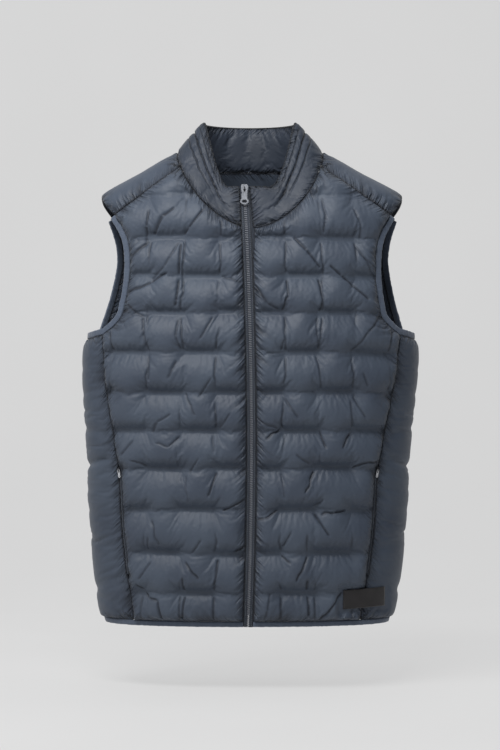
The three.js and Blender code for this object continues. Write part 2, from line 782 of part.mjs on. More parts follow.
function zipTape(side) {
  const [near, far] = [TEETH_HALF + 0.3, ZIP_HALF_GAP - 0.45];
  const [low, high] = side > 0 ? [-far, -near] : [near, far];
  return sweep(zipPath(HEM, COLLAR.front - 0.5), bar(low, high, -TAPE_HALF, TAPE_HALF));
}

function zipTeeth() {
  const top = SLIDER.height - 1;
  return sweep(zipPath(HEM, top), bar(-TEETH_HALF, TEETH_HALF, -TEETH_DEPTH, TEETH_DEPTH));
}

// Metal pieces are drawn flat, across and up, with their thickness outwards.
function plate(shape, low, high) {
  const settings = { depth: high - low, bevelEnabled: false, curveSegments: 7 };
  return new THREE.ExtrudeGeometry(shape, settings).translate(0, 0, low);
}

function toSolid(geometry) {
  const bare = geometry.clone();
  bare.deleteAttribute("normal");
  bare.deleteAttribute("uv");
  const { attributes, index } = mergeVertices(bare);
  const [vertProperties, triVerts] = [attributes.position.array, new Uint32Array(index.array)];
  return new wasm.Manifold(new wasm.Mesh({ numProp: 3, vertProperties, triVerts }));
}

function fromSolid(manifold) {
  const { vertProperties, triVerts } = manifold.getMesh();
  const geometry = new THREE.BufferGeometry();
  geometry.setAttribute("position", new THREE.Float32BufferAttribute(vertProperties, 3));
  geometry.setIndex([...triVerts]);
  geometry.computeVertexNormals();
  return geometry;
}

// The loop that a pull swings on: half a ring standing on the slider's plate, across the pull's eye.
function swivelLoop({ centre, ring, bar, top }) {
  const loop = new THREE.TorusGeometry(ring, bar, 6, 16).rotateY(Math.PI / 2).translate(0, 0, centre);
  const reach = 4 * ring;
  const above = new THREE.BoxGeometry(reach, reach, reach).translate(0, 0, top - 0.1 + reach / 2);
  return toSolid(loop).intersect(toSolid(above));
}

function sliderBody({ outline, channel, post, swivel }) {
  const left = outline.map(([x, y]) => new THREE.Vector2(-x, y)).reverse();
  const shape = new THREE.Shape([...outline.map(([x, y]) => new THREE.Vector2(x, y)), ...left]);
  const core = new THREE.BoxGeometry(2 * post.half, post.to - post.from, 2 * channel + 0.6);
  core.translate(0, (post.from + post.to) / 2, 0);
  const body = toSolid(plate(shape, channel, swivel.top)).add(toSolid(plate(shape, -swivel.top, -channel)));
  return fromSolid(body.add(toSolid(core)).add(swivelLoop(swivel)));
}

function pullTab({ length, neck, eye, slot, slotEnd, ring, ringWidth, hole, holeWidth, thick }) {
  const centre = ring / 2 - length;
  const turn = Math.acos(neck / ringWidth);
  const shape = new THREE.Shape();
  shape.moveTo(-neck / 2, eye);
  shape.lineTo(neck / 2, eye);
  shape.lineTo(neck / 2, centre + (ring / 2) * Math.sin(turn));
  shape.absellipse(0, centre, ringWidth / 2, ring / 2, turn, Math.PI - turn, true);
  const eyeSlot = new THREE.Path();
  eyeSlot.moveTo(-slot / 2, -eye);
  eyeSlot.lineTo(-slot / 2, slot / 2 - slotEnd);
  eyeSlot.absarc(0, slot / 2 - slotEnd, slot / 2, Math.PI, 2 * Math.PI, false);
  eyeSlot.lineTo(slot / 2, -eye);
  const ringHole = new THREE.Path();
  ringHole.absellipse(0, centre, holeWidth / 2, hole / 2, 0, 2 * Math.PI, false);
  shape.holes.push(eyeSlot, ringHole);
  return fromSolid(toSolid(plate(shape, -thick / 2, thick / 2)));
}

function place(mesh, { across, up, out, at }) {
  mesh.quaternion.setFromRotationMatrix(new THREE.Matrix4().makeBasis(across, up, out));
  mesh.position.copy(at);
}

function zipFrame(height) {
  const up = zipPoint(height + 1).sub(zipPoint(height)).setX(0).normalize();
  const across = new THREE.Vector3(1, 0, 0);
  return { at: zipPoint(height), across, up, out: across.clone().cross(up).normalize() };
}

// The seam that a pocket opens along, and the frame of its small slider.
const pocketTurn = (height) => turnAt(along(SIDE_SEAM, "front", height), height, "front");

function pocketPoint(height, side) {
  return worn(onForm(pocketTurn(height), height), side);
}

function pocketNormal(height, side) {
  return flipped(formNormal(pocketTurn(height), height), side);
}

function pocketZip(side) {
  const heights = PANEL_HEIGHTS.filter((z) => z > POCKET.bottom + 8 && z < POCKET.pull - 8);
  const underSlider = POCKET.pull + POCKET_SLIDER.outline[0][1] - 0.4;
  const ends = [POCKET.bottom + 7, ...heights, underSlider];
  const points = ends.map((height) => pocketPoint(height, side));
  const normals = ends.map((height) => pocketNormal(height, side));
  return sweep(framesAlong(points, normals), bar(-POCKET_TEETH, POCKET_TEETH, -TAPE_HALF, TAPE_HALF));
}

function pocketFrame(side) {
  const at = pocketPoint(POCKET.pull, side);
  const up = at.clone().sub(pocketPoint(POCKET.pull - 8, side)).normalize();
  const across = up.clone().cross(pocketNormal(POCKET.pull, side)).normalize();
  return { at, across, up, out: across.clone().cross(up).normalize() };
}

// The frame of a pull: its slider's frame, moved out to the loop it swings on.
function pullFrame(frame, { swivel }) {
  return { ...frame, at: frame.at.clone().addScaledVector(frame.out, swivel.centre) };
}

function labelPatch() {
  const point = (share, row, out) => {
    const height = lerp(LABEL.bottom, LABEL.top, row / LABEL_ROWS) + lerp(-LABEL.skew, LABEL.skew, share);
    const x = lerp(LABEL.left, LABEL.right, share);
    const lift = LABEL.lift + (out ? LABEL.thick / 2 : -LABEL.thick / 2);
    return worn(offForm(turnAt(x, height, "front"), height, lift), 1);
  };
  return wall(LABEL_COLUMNS, LABEL_ROWS, 1, (s, r) => point(s, r, true), (s, r) => point(s, r, false));
}

add("back", backPanel(), FABRIC);
add("collar", collar(), SMOOTH_FABRIC);
add("hem_binding", hemBinding(), ELASTIC);
[1, -1].forEach((side) => {
  add(`front_${sideName(side)}`, frontPanel(side), FABRIC);
  add(`side_${sideName(side)}`, sidePanel(side), SMOOTH_FABRIC);
  add(`yoke_${sideName(side)}`, yoke(side), SMOOTH_FABRIC);
  add(`armhole_binding_${sideName(side)}`, armholeBinding(side), ELASTIC);
  add(`zip_tape_${sideName(side)}`, zipTape(side), TAPE);
  add(`pocket_zip_${sideName(side)}`, pocketZip(side), TAPE);
  const frame = pocketFrame(side);
  place(add(`pocket_slider_${sideName(side)}`, sliderBody(POCKET_SLIDER), METAL), frame);
  place(add(`pocket_pull_${sideName(side)}`, pullTab(POCKET_PULL), METAL), pullFrame(frame, POCKET_SLIDER));
});
add("zip_teeth", zipTeeth(), TEETH);
const sliderFrame = zipFrame(SLIDER.height);
place(add("zip_slider", sliderBody(SLIDER), METAL), sliderFrame);
place(add("zip_pull", pullTab(PULL), METAL), pullFrame(sliderFrame, SLIDER));
add("label", labelPatch(), BLACK_LABEL);

export default jacket;
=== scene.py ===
# %% [markdown]
# # A quilted sleeveless jacket
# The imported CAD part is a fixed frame: it says where every panel, seam and zip lies. Here each
# panel is cut as flat cloth, laid on the same worn form, filled, and sewn shut again, so that
# the puffs and wrinkles come from cloth that is held along its bonded lines, as on the real one.

# %% Load the frame
import math

import bpy
import numpy as np
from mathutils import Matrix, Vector, geometry


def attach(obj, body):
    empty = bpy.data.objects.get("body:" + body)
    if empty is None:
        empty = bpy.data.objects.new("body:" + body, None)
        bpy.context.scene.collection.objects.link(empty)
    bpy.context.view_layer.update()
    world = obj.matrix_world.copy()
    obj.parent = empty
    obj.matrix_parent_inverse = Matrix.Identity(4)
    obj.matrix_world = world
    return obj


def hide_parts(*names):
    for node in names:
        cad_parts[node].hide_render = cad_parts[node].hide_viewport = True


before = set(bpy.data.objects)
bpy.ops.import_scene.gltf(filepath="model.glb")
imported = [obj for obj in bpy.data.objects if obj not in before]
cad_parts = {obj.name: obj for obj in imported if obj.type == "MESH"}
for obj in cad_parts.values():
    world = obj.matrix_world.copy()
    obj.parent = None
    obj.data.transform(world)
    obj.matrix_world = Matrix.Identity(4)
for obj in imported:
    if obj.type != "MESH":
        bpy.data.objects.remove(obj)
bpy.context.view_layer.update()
MM = 0.001

# %% [markdown]
# ## The worn form
# A filled jacket with nobody in it still stands as it does on a body. Every seam is a line on one
# smooth form, given as a superellipse ring at each height: (height, half width, front, back), in mm.
# The seams are tables too, so that neighbouring panels meet without measuring one another.

# %% The form and its seams
FORM = np.array([
    (8, 92, 33, 35), (0, 103, 40, 44), (-16, 129, 54, 58), (-33, 157, 65, 68), (-50, 190, 74, 76),
    (-62, 211, 79, 81), (-74, 220, 83, 84), (-95, 224, 88, 88), (-130, 226, 94, 93),
    (-180, 228.5, 100, 97), (-230, 231.5, 105, 98), (-270, 234, 108, 97), (-300, 234, 109, 95),
    (-350, 231, 108, 91), (-400, 227, 106, 88), (-450, 223.5, 104, 86), (-490, 223, 103, 85),
    (-535, 219, 102, 85), (-580, 215.5, 101, 86), (-625, 210, 99, 86), (-655, 206, 95, 84),
    (-682, 199, 90, 80),
])
SQUARENESS = 2.3
SIDE_SEAM = np.array([
    (-682, 157, 162), (-640, 162, 168), (-602, 168, 174), (-570, 172, 178), (-532, 176, 182),
    (-500, 178, 184), (-462, 180, 186), (-434, 185, 190), (-396, 191, 195), (-354, 199, 202),
    (-314, 205, 208), (-261, 209, 216),
])
ARMHOLE = np.array([
    (-261, 209, 216), (-251, 196, 213), (-237, 184, 208.5), (-217, 178.5, 202.5), (-197, 175, 197.5),
    (-176, 173, 193), (-153, 173, 190), (-130, 176, 191.5), (-111, 183, 196), (-91, 195, 203),
])
SWAY = np.array([
    (-671, -5), (-550, -3.6), (-450, -3.2), (-350, -1.6), (-300, 0), (-240, 1.5), (-160, 3.3),
    (-90, 3), (-20, 0), (20, -1),
])
HEM, HEM_TOP, ARMPIT, FRONT_NECK, SHOULDER_POINT, BACK_NECK = -671.5, -663.5, -261, -112, -91, -22
NECK_HALF_WIDTH, NECK_CURVE, RIDGE_DROP = 103, 1.7, -66
YOKE_TIP = {"front": 195, "back": 203}
WALL = 1.2
ZIP_HALF_GAP = 7
POCKET_TOP, POCKET_BOTTOM, POCKET_GAP, POCKET_EASE = -444, -606, 1.7, 5
SEAM_GAP, YOKE_GAP = 0.32, 0.5


def along(table, column, height):
    """A column of a table at each height, along a smooth curve through its rows."""
    rows = table[np.argsort(table[:, 0])]
    places, values = rows[:, 0], rows[:, column]
    z = np.clip(height, places[0], places[-1])
    last = len(places) - 1
    i = np.clip(np.searchsorted(places, z) - 1, 0, last - 1)
    up, down = np.minimum(np.arange(last + 1) + 1, last), np.maximum(np.arange(last + 1) - 1, 0)
    slopes = (values[up] - values[down]) / (places[up] - places[down])
    step = places[i + 1] - places[i]
    t = (z - places[i]) / step
    return (
        values[i] * (1 + 2 * t) * (1 - t) ** 2
        + slopes[i] * step * t * (1 - t) ** 2
        + values[i + 1] * t * t * (3 - 2 * t)
        + slopes[i + 1] * step * t * t * (t - 1)
    )


def smooth(t):
    t = np.clip(t, 0, 1)
    return t * t * (3 - 2 * t)


def lerp(a, b, t):
    return a + (b - a) * t


def on_form(turn, height):
    """Points of the form: turn runs from 0 at the middle front to 1 at the side and 2 at the middle back."""
    turn, height = np.broadcast_arrays(np.asarray(turn, float), np.asarray(height, float))
    angle = turn * math.pi / 2
    depth = np.where(turn < 1, -along(FORM, 2, height), along(FORM, 3, height))
    power = 2 / SQUARENESS
    x = along(FORM, 1, height) * np.maximum(np.sin(angle), 0) ** power
    y = depth * np.abs(np.cos(angle)) ** power
    return np.stack([x, y, height], -1)


def unit(v):
    return v / np.maximum(np.linalg.norm(v, axis=-1, keepdims=True), 1e-9)


def form_normal(turn, height):
    d = 0.004
    turn = np.asarray(turn, float)
    across = on_form(np.minimum(turn + d, 2), height) - on_form(np.maximum(turn - d, 0), height)
    up = on_form(turn, np.asarray(height) + 1) - on_form(turn, np.asarray(height) - 1)
    return unit(np.cross(across, up))


def turn_at(x, height, face):
    share = np.clip(np.abs(x) / along(FORM, 1, height), 0, 1)
    turn = np.arcsin(share ** (SQUARENESS / 2)) / (math.pi / 2)
    return turn if face == "front" else 2 - turn


def sway(height):
    return along(SWAY, 1, height)


def worn(points, side):
    """Mirrors points to a side of the body and shifts them with the way that the garment hangs."""
    out = np.array(points, float)
    out[..., 0] = out[..., 0] * side + sway(out[..., 2])
    return out


def zip_x(height):
    return 1.4 - 8.8 * ((height + 417) / 340) ** 2


def zip_lean(height):
    return zip_x(height) - sway(height)


def neck_x(height):
    share = np.clip(np.asarray(height, float) / FRONT_NECK, 0, 1)
    return NECK_HALF_WIDTH * (1 - share ** NECK_CURVE) ** (1 / NECK_CURVE)


def yoke_x(height, face):
    return lerp(neck_x(BACK_NECK), YOKE_TIP[face], (height - BACK_NECK) / (SHOULDER_POINT - BACK_NECK))


def pocket_gap(height):
    inside = np.minimum(POCKET_TOP - height, height - POCKET_BOTTOM)
    return POCKET_GAP * smooth(inside / POCKET_EASE)


def panel_edge(height, face):
    column = 1 if face == "front" else 2
    seam = along(SIDE_SEAM, column, height) - SEAM_GAP / 2
    if face == "front":
        seam = seam - pocket_gap(height)
    edge = np.where(height > ARMPIT, along(ARMHOLE, column, height), seam)
    return np.where(height > SHOULDER_POINT, yoke_x(height, face), edge)


# Arc length round the form, so that cloth cut on it keeps an even thread count towards the sides.
HEIGHTS = np.arange(-690, 22, 2.0)
TURNS = np.linspace(0, 2, 801)
RINGS = on_form(TURNS[None, :], HEIGHTS[:, None])
STEPS = np.linalg.norm(np.diff(RINGS, axis=1), axis=-1)
ARCS = np.concatenate([np.zeros((len(HEIGHTS), 1)), np.cumsum(STEPS, axis=1)], axis=1)
ARC_GRID = np.arange(0, 760, 1.0)
TURNS_AT = np.array([np.interp(ARC_GRID, row, TURNS) for row in ARCS])


def table_at(table, row, column):
    """Bilinear look-up in a table by fractional row and column."""
    i = np.clip(np.floor(row).astype(int), 0, table.shape[0] - 2)
    j = np.clip(np.floor(column).astype(int), 0, table.shape[1] - 2)
    a, b = np.clip(row - i, 0, 1), np.clip(column - j, 0, 1)
    low = lerp(table[i, j], table[i, j + 1], b)
    high = lerp(table[i + 1, j], table[i + 1, j + 1], b)
    return lerp(low, high, a)


def arc_of(turn, height):
    return table_at(ARCS, (np.asarray(height) - HEIGHTS[0]) / 2, np.asarray(turn) * 400)


def turn_of(arc, height):
    return table_at(TURNS_AT, (np.asarray(height) - HEIGHTS[0]) / 2, np.asarray(arc))


print("half way round the form at the chest:", round(float(arc_of(2.0, -270.0))), "mm")

# %% [markdown]
# ## Cutting and filling a panel
# A panel is a flat outline filled with a lattice of points. The bonded lines and the outline are
# held where they are sewn; the cloth between them is cut a little larger than the form and blown
# outwards, as the fill does, so it puckers where it is held. Blender's Cloth does that work, at ten
# times the real size, where its springs are at their best.

# %% Cloth tools
SIM_SCALE = 10


def resample(points, spacing, closed=False):
    """The same line with points evenly spaced along it."""
    points = np.asarray(points, float)
    if closed:
        points = np.vstack([points, points[:1]])
    length = np.concatenate([[0], np.cumsum(np.linalg.norm(np.diff(points, axis=0), axis=1))])
    count = max(int(round(length[-1] / spacing)), 2)
    places = np.linspace(0, length[-1], count + 1)
    line = np.stack([np.interp(places, length, points[:, k]) for k in range(points.shape[1])], 1)
    return line[:-1] if closed else line


def inside(points, loop):
    x, y = points[:, :1], points[:, 1:]
    x0, y0 = loop[:, 0], loop[:, 1]
    x1, y1 = np.roll(x0, -1), np.roll(y0, -1)
    crosses = (y0 > y) != (y1 > y)
    at = x0 + (y - y0) * (x1 - x0) / np.where(y1 == y0, 1e-9, y1 - y0)
    return (np.sum(crosses & (x < at), axis=1) % 2) == 1


def nearest(points, loop):
    """How far each point is from a closed line, and how far along the line it is nearest to."""
    best, at, walked = np.full(len(points), 1e9), np.zeros(len(points)), 0.0
    for a, b in zip(loop, np.roll(loop, -1, axis=0)):
        run = b - a
        long = math.hypot(*run)
        t = np.clip(((points - a) @ run) / max(long * long, 1e-9), 0, 1)
        away = np.linalg.norm(points - (a + t[:, None] * run), axis=1)
        at = np.where(away < best, walked + t * long, at)
        best = np.minimum(best, away)
        walked += long
    return best, at


def distance(points, loop):
    return nearest(points, loop)[0]


def hills(t, seed):
    """Smooth random heights between -1 and 1 along a line, one to each whole step."""
    values = np.random.default_rng(seed).uniform(-1, 1, 2048)
    step = np.floor(t).astype(int)
    return lerp(values[step % 2048], values[(step + 1) % 2048], smooth(t - step))


def lattice(loop, spacing, held, rng):
    """Points inside a loop, and the triangles on them. held are points that keep their places."""
    low, high = loop.min(0), loop.max(0)
    row = spacing * math.sqrt(3) / 2
    ys = np.arange(low[1], high[1], row)
    xs = np.arange(low[0] - spacing, high[0] + spacing, spacing)
    grid = np.array([(x + (k % 2) * spacing / 2, y) for k, y in enumerate(ys) for x in xs])
    grid += rng.uniform(-0.12, 0.12, grid.shape) * spacing
    grid = grid[inside(grid, loop)]
    grid = grid[distance(grid, loop) > 0.6 * spacing]
    if len(held):
        held = held[inside(held, loop)]
        held = held[distance(held, loop) > 0.5 * spacing]
        cell = {}
        for point in held:
            cell.setdefault(tuple(np.floor(point / spacing).astype(int)), []).append(point)
        keep = []
        for point in grid:
            i, j = np.floor(point / spacing).astype(int)
            near = [q for di in (-1, 0, 1) for dj in (-1, 0, 1) for q in cell.get((i + di, j + dj), ())]
            if all(np.hypot(*(q - point)) > 0.6 * spacing for q in near):
                keep.append(point)
        grid = np.array(keep)
    points = np.vstack([loop, held, grid]) if len(held) else np.vstack([loop, grid])
    n = len(loop)
    flat = [Vector((float(x), float(y))) for x, y in points]
    verts, _, faces, origins, _, _ = geometry.delaunay_2d_cdt(
        flat, [(k, (k + 1) % n) for k in range(n)], [list(range(n))], 1, 1e-5
    )
    order = np.array([min(origin) if origin else -1 for origin in origins])
    flat = np.array([(v.x, v.y) for v in verts])
    return flat, np.array([tuple(f) for f in faces if len(f) == 3]), order


def new_mesh(name, points, faces):
    mesh = bpy.data.meshes.new(name)
    mesh.from_pydata([tuple(p) for p in points], [], [tuple(int(k) for k in f) for f in faces])
    mesh.update()
    obj = bpy.data.objects.new(name, mesh)
    bpy.context.scene.collection.objects.link(obj)
    return obj


def blow(name, start, faces, held, spare, pressure, frames=26, stiff=30, bend=0.02, weight=0.25):
    """Cloth blown from start to its filled shape. held are the points that are sewn down, and spare
    the share by which each point's cloth is cut longer than the form that it lies on."""
    size = SIM_SCALE * MM
    obj = new_mesh("cloth_" + name, start * size, faces)
    sewn = obj.vertex_groups.new(name="sewn")
    sewn.add([int(k) for k in np.flatnonzero(held)], 1.0, "REPLACE")
    cloth = obj.modifiers.new("Cloth", "CLOTH")
    settings = cloth.settings
    settings.quality = 5
    settings.mass = weight
    settings.air_damping = 2
    settings.tension_stiffness = stiff
    settings.compression_stiffness = stiff
    settings.shear_stiffness = stiff * 0.4
    settings.bending_stiffness = bend
    settings.tension_damping = 10
    settings.compression_damping = 10
    settings.shear_damping = 8
    settings.bending_damping = 0.6
    settings.vertex_group_mass = "sewn"
    settings.pin_stiffness = 40
    settings.use_pressure = True
    settings.uniform_pressure_force = pressure
    settings.shrink_min = -spare
    settings.shrink_max = -spare
    cloth.collision_settings.use_collision = False
    cloth.point_cache.frame_start, cloth.point_cache.frame_end = 1, frames
    scene = bpy.context.scene
    for step in range(1, frames + 1):
        scene.frame_set(step)
    shape = obj.evaluated_get(bpy.context.evaluated_depsgraph_get()).to_mesh()
    points = np.empty(3 * len(start))
    shape.vertices.foreach_get("co", points)
    points = points.reshape(-1, 3) / size
    mesh = obj.data
    bpy.data.objects.remove(obj)
    bpy.data.meshes.remove(mesh)
    scene.frame_set(1)
    return points

def facing(points, faces, normals):
    """The same triangles, turned so that they face along the normals of their points."""
    a, b, c = (points[faces[:, k]] for k in range(3))
    turned = np.sum(np.cross(b - a, c - a) * normals[faces].sum(1)) < 0
    return faces[:, ::-1].copy() if turned else faces


def boundary(order, count):
    """Where each point of the outline ended up in the lattice."""
    at = np.empty(count, int)
    found = np.flatnonzero((order >= 0) & (order < count))
    at[order[found]] = found
    return at


def sewn_shell(name, outer, inner, count, bulge=0.0, creases=()):
    """One closed mesh: filled cloth outside, lining inside, and the turned edge that joins them.
    outer and inner are dictionaries of points, normals, faces, order, cut and seam. bulge is how far
    the edge rounds out beyond the outline."""
    at_outer, at_inner = boundary(outer["order"], count), boundary(inner["order"], count)
    rim_out, rim_in = outer["points"][at_outer], inner["points"][at_inner]
    middle = (rim_out + rim_in) / 2
    heading = unit(np.roll(middle, -1, 0) - np.roll(middle, 1, 0))
    away = unit(np.cross(heading, unit(rim_out - rim_in)))
    if np.sum(away * (middle - outer["points"].mean(0))) < 0:
        away = -away
    edge = middle + away * np.broadcast_to(bulge, count)[:, None]
    out_faces = facing(outer["points"], outer["faces"], outer["normals"])
    in_faces = facing(inner["points"], inner["faces"], -inner["normals"]) + len(outer["points"])
    sides = {(f[k], f[(k + 1) % 3]) for f in out_faces.tolist() for k in range(3)}
    first_inner, first_edge = len(outer["points"]), len(outer["points"]) + len(inner["points"])
    rim = []
    for k in range(count):
        j = (k + 1) % count
        a, b = at_outer[k], at_outer[j]
        c, d = first_edge + k, first_edge + j
        e, f = first_inner + at_inner[k], first_inner + at_inner[j]
        strip_faces = [(b, a, c), (b, c, d), (d, c, e), (d, e, f)]
        rim += strip_faces if (a, b) in sides else [face[::-1] for face in strip_faces]
    points = np.vstack([outer["points"], inner["points"], edge])
    aside = [float(np.ptp(outer["cut"][:, 0])) + 40, 0]
    carried = {"cut": np.vstack([outer["cut"], inner["cut"] + aside, outer["cut"][at_outer]])}
    for title in ("normals", "seam", "edge", "along", "x", "column", "row", "outside"):
        carried[title] = np.concatenate([outer[title], inner[title], outer[title][at_outer]])
    faces = np.vstack([out_faces, in_faces, rim])
    points, faces, *values = subdivided(points, faces, *carried.values())
    fields = dict(zip(carried, values), creases=creases)
    deep = creased(fields) * fields["outside"]
    points = points - fields["normals"] * deep[:, None]
    read = {title: fields[title] for title in ("seam", "edge", "along", "column", "row")}
    read["crease"] = deep
    return cloth_object(name, points, faces, fields["cut"], read)


def valley(t, seed):
    """Narrow valleys between rounded hills, from 0 on a hill to 1 in a valley."""
    return (1 - np.abs(hills(t, seed))) ** 3


def creased(fields):
    """How deep the cloth is drawn in: puckers where a seam gathers it, and upright creases that
    join the ends of the bonded lines."""
    edge, along = fields["edge"], fields["along"]
    slant = along - 0.75 * edge + 2.0 * hills(edge / 7 + along / 50, 4)
    fine = valley(slant / 7, 5) * 0.45 + valley(slant / 12, 6) * 0.55
    reach = 10 + 6 * hills(along / 17, 7)
    gathered = PUCKER * fine * smooth(edge / 3) * np.exp(-edge / reach)
    column, row = fields["column"], fields["row"]
    nearest_column = np.round(column)
    wobble = 4.2 * hills(row * 2.1 + nearest_column * 17, 8) + 1.2 * hills(row * 5.3 + nearest_column * 31, 9)
    aside = (column - nearest_column) * BRICK + wobble
    strength = np.clip(0.3 + 1.2 * hills(row * 1.6 + nearest_column * 41, 10), 0, 1)
    upright = CREASE_DEPTH * strength * np.exp(-((aside / 1.7) ** 2)) * smooth(fields["seam"] / 5)
    return gathered + np.maximum(upright * smooth(edge / 9), drawn(fields))


def drawn(fields):
    """The longer creases, each from one point to another of a front, sharp on one side, soft on the other."""
    rows = fields["creases"]
    x, height = fields["x"], fields["cut"][:, 1]
    deep = np.zeros(len(x))
    for x0, h0, x1, h1, depth in rows:
        long = math.hypot(x1 - x0, h1 - h0)
        across, up = (x1 - x0) / long, (h1 - h0) / long
        walked = (x - x0) * across + (height - h0) * up
        aside = (x - x0) * up - (height - h0) * across + 1.1 * hills((x + 0.6 * height) / 9, 13)
        ends = smooth((walked + 3) / 6) * smooth((long + 3 - walked) / 6)
        side = np.where(aside > 0, np.exp(-((aside / 1.2) ** 2)), np.exp(-((aside / 2.2) ** 2)))
        deep = np.maximum(deep, depth * side * ends)
    return deep * smooth(fields["seam"] / 4) * (fields["outside"] > 0.5)


def subdivided(points, faces, *fields):
    """Loop's subdivision of a closed triangle mesh, with its fields carried along in straight lines."""
    edges = np.sort(np.vstack([faces[:, [0, 1]], faces[:, [1, 2]], faces[:, [2, 0]]]), axis=1)
    opposite = np.concatenate([faces[:, 2], faces[:, 0], faces[:, 1]])
    keys = edges[:, 0] * len(points) + edges[:, 1]
    _, first, which = np.unique(keys, return_index=True, return_inverse=True)
    start, end = edges[first].T
    across, around = np.zeros((len(first), 3)), np.zeros(points.shape)
    for k in range(3):
        across[:, k] = np.bincount(which, points[opposite, k], len(first))
        around[:, k] = np.bincount(start, points[end, k], len(points)) + np.bincount(end, points[start, k], len(points))
    middle = 0.375 * (points[start] + points[end]) + 0.125 * across
    valence = np.maximum(np.bincount(np.concatenate([start, end]), minlength=len(points)), 1)
    weight = (5 / 8 - (3 / 8 + np.cos(2 * math.pi / valence) / 4) ** 2) / valence
    moved = points * (1 - valence * weight)[:, None] + around * weight[:, None]
    a, b, c = faces.T
    ab, bc, ca = which.reshape(3, -1) + len(points)
    finer = np.vstack([np.stack(t, 1) for t in ((a, ab, ca), (b, bc, ab), (c, ca, bc), (ab, bc, ca))])
    carried = [np.concatenate([field, (field[start] + field[end]) / 2]) for field in fields]
    return np.vstack([moved, middle]), finer, *carried


def cloth_object(name, points, faces, cut, fields):
    """A smooth mesh with its flat cut as UVs, in metres, and the values that the materials read."""
    obj = new_mesh(name, points * MM, faces)
    mesh = obj.data
    corners = np.empty(len(mesh.loops), int)
    mesh.loops.foreach_get("vertex_index", corners)
    layer = mesh.uv_layers.new(name="cut")
    layer.data.foreach_set("uv", (cut[corners] * MM).astype(np.float32).ravel())
    for title, values in fields.items():
        attribute = mesh.attributes.new(title, "FLOAT", "POINT")
        attribute.data.foreach_set("value", values.astype(np.float32))
    mesh.shade_smooth()
    return obj


def bake(obj):
    """The object's modifiers made part of its mesh."""
    old = obj.data
    evaluated = obj.evaluated_get(bpy.context.evaluated_depsgraph_get())
    obj.data = bpy.data.meshes.new_from_object(evaluated)
    obj.modifiers.clear()
    bpy.data.meshes.remove(old)


def patch(points, normals, faces, order, cut, seam, loop, outside=1.0, x=None, first=None):
    """One face of a piece, with what its creases and its material need to know at each point."""
    edge, along = nearest(cut, loop)
    count = len(cut)
    return {
        "points": points, "normals": normals, "faces": faces, "order": order, "cut": cut, "seam": seam,
        "edge": edge, "along": along, "outside": np.full(count, outside),
        "x": cut[:, 0] if x is None else x,
        "column": np.full(count, 0.5) if first is None else (x - first) / BRICK,
        "row": np.interp(cut[:, 1], QUILT, np.arange(len(QUILT))),
    }


def limit(points, base, normal, most):
    """Holds points within a soft distance of the form, so that a loose puff can't run away."""
    rise = np.sum((points - base) * normal, axis=1)
    over = np.maximum(rise - (most - 3), 0)
    return points - normal * (over - 3 * (1 - np.exp(-over / 3)))[:, None]


print("cloth tools ready")

# %% [markdown]
# ## Quilted fronts and back
# The quilting is bonded, not stitched: flat lines about 48 mm long hold the two cloths together in
# alternate bricks, and the filling swells between them. Each line is a narrow strip of held points,
# and the cloth round it is a twentieth longer than the form, which is what makes the puckers.

# %% Quilted panels
QUILT = [-624, -568, -508, -449, -396, -342, -287, -231, -179, -126, -66]
BRICK, FRONT_FIRST, BOND_HALF = 48.5, 46.0, 3.1
OUT_OF_TRUE = np.array([2.2, 1.6, 0.03])
PUCKER, CREASE_DEPTH, SAG = 3.8, 1.7, 2.6
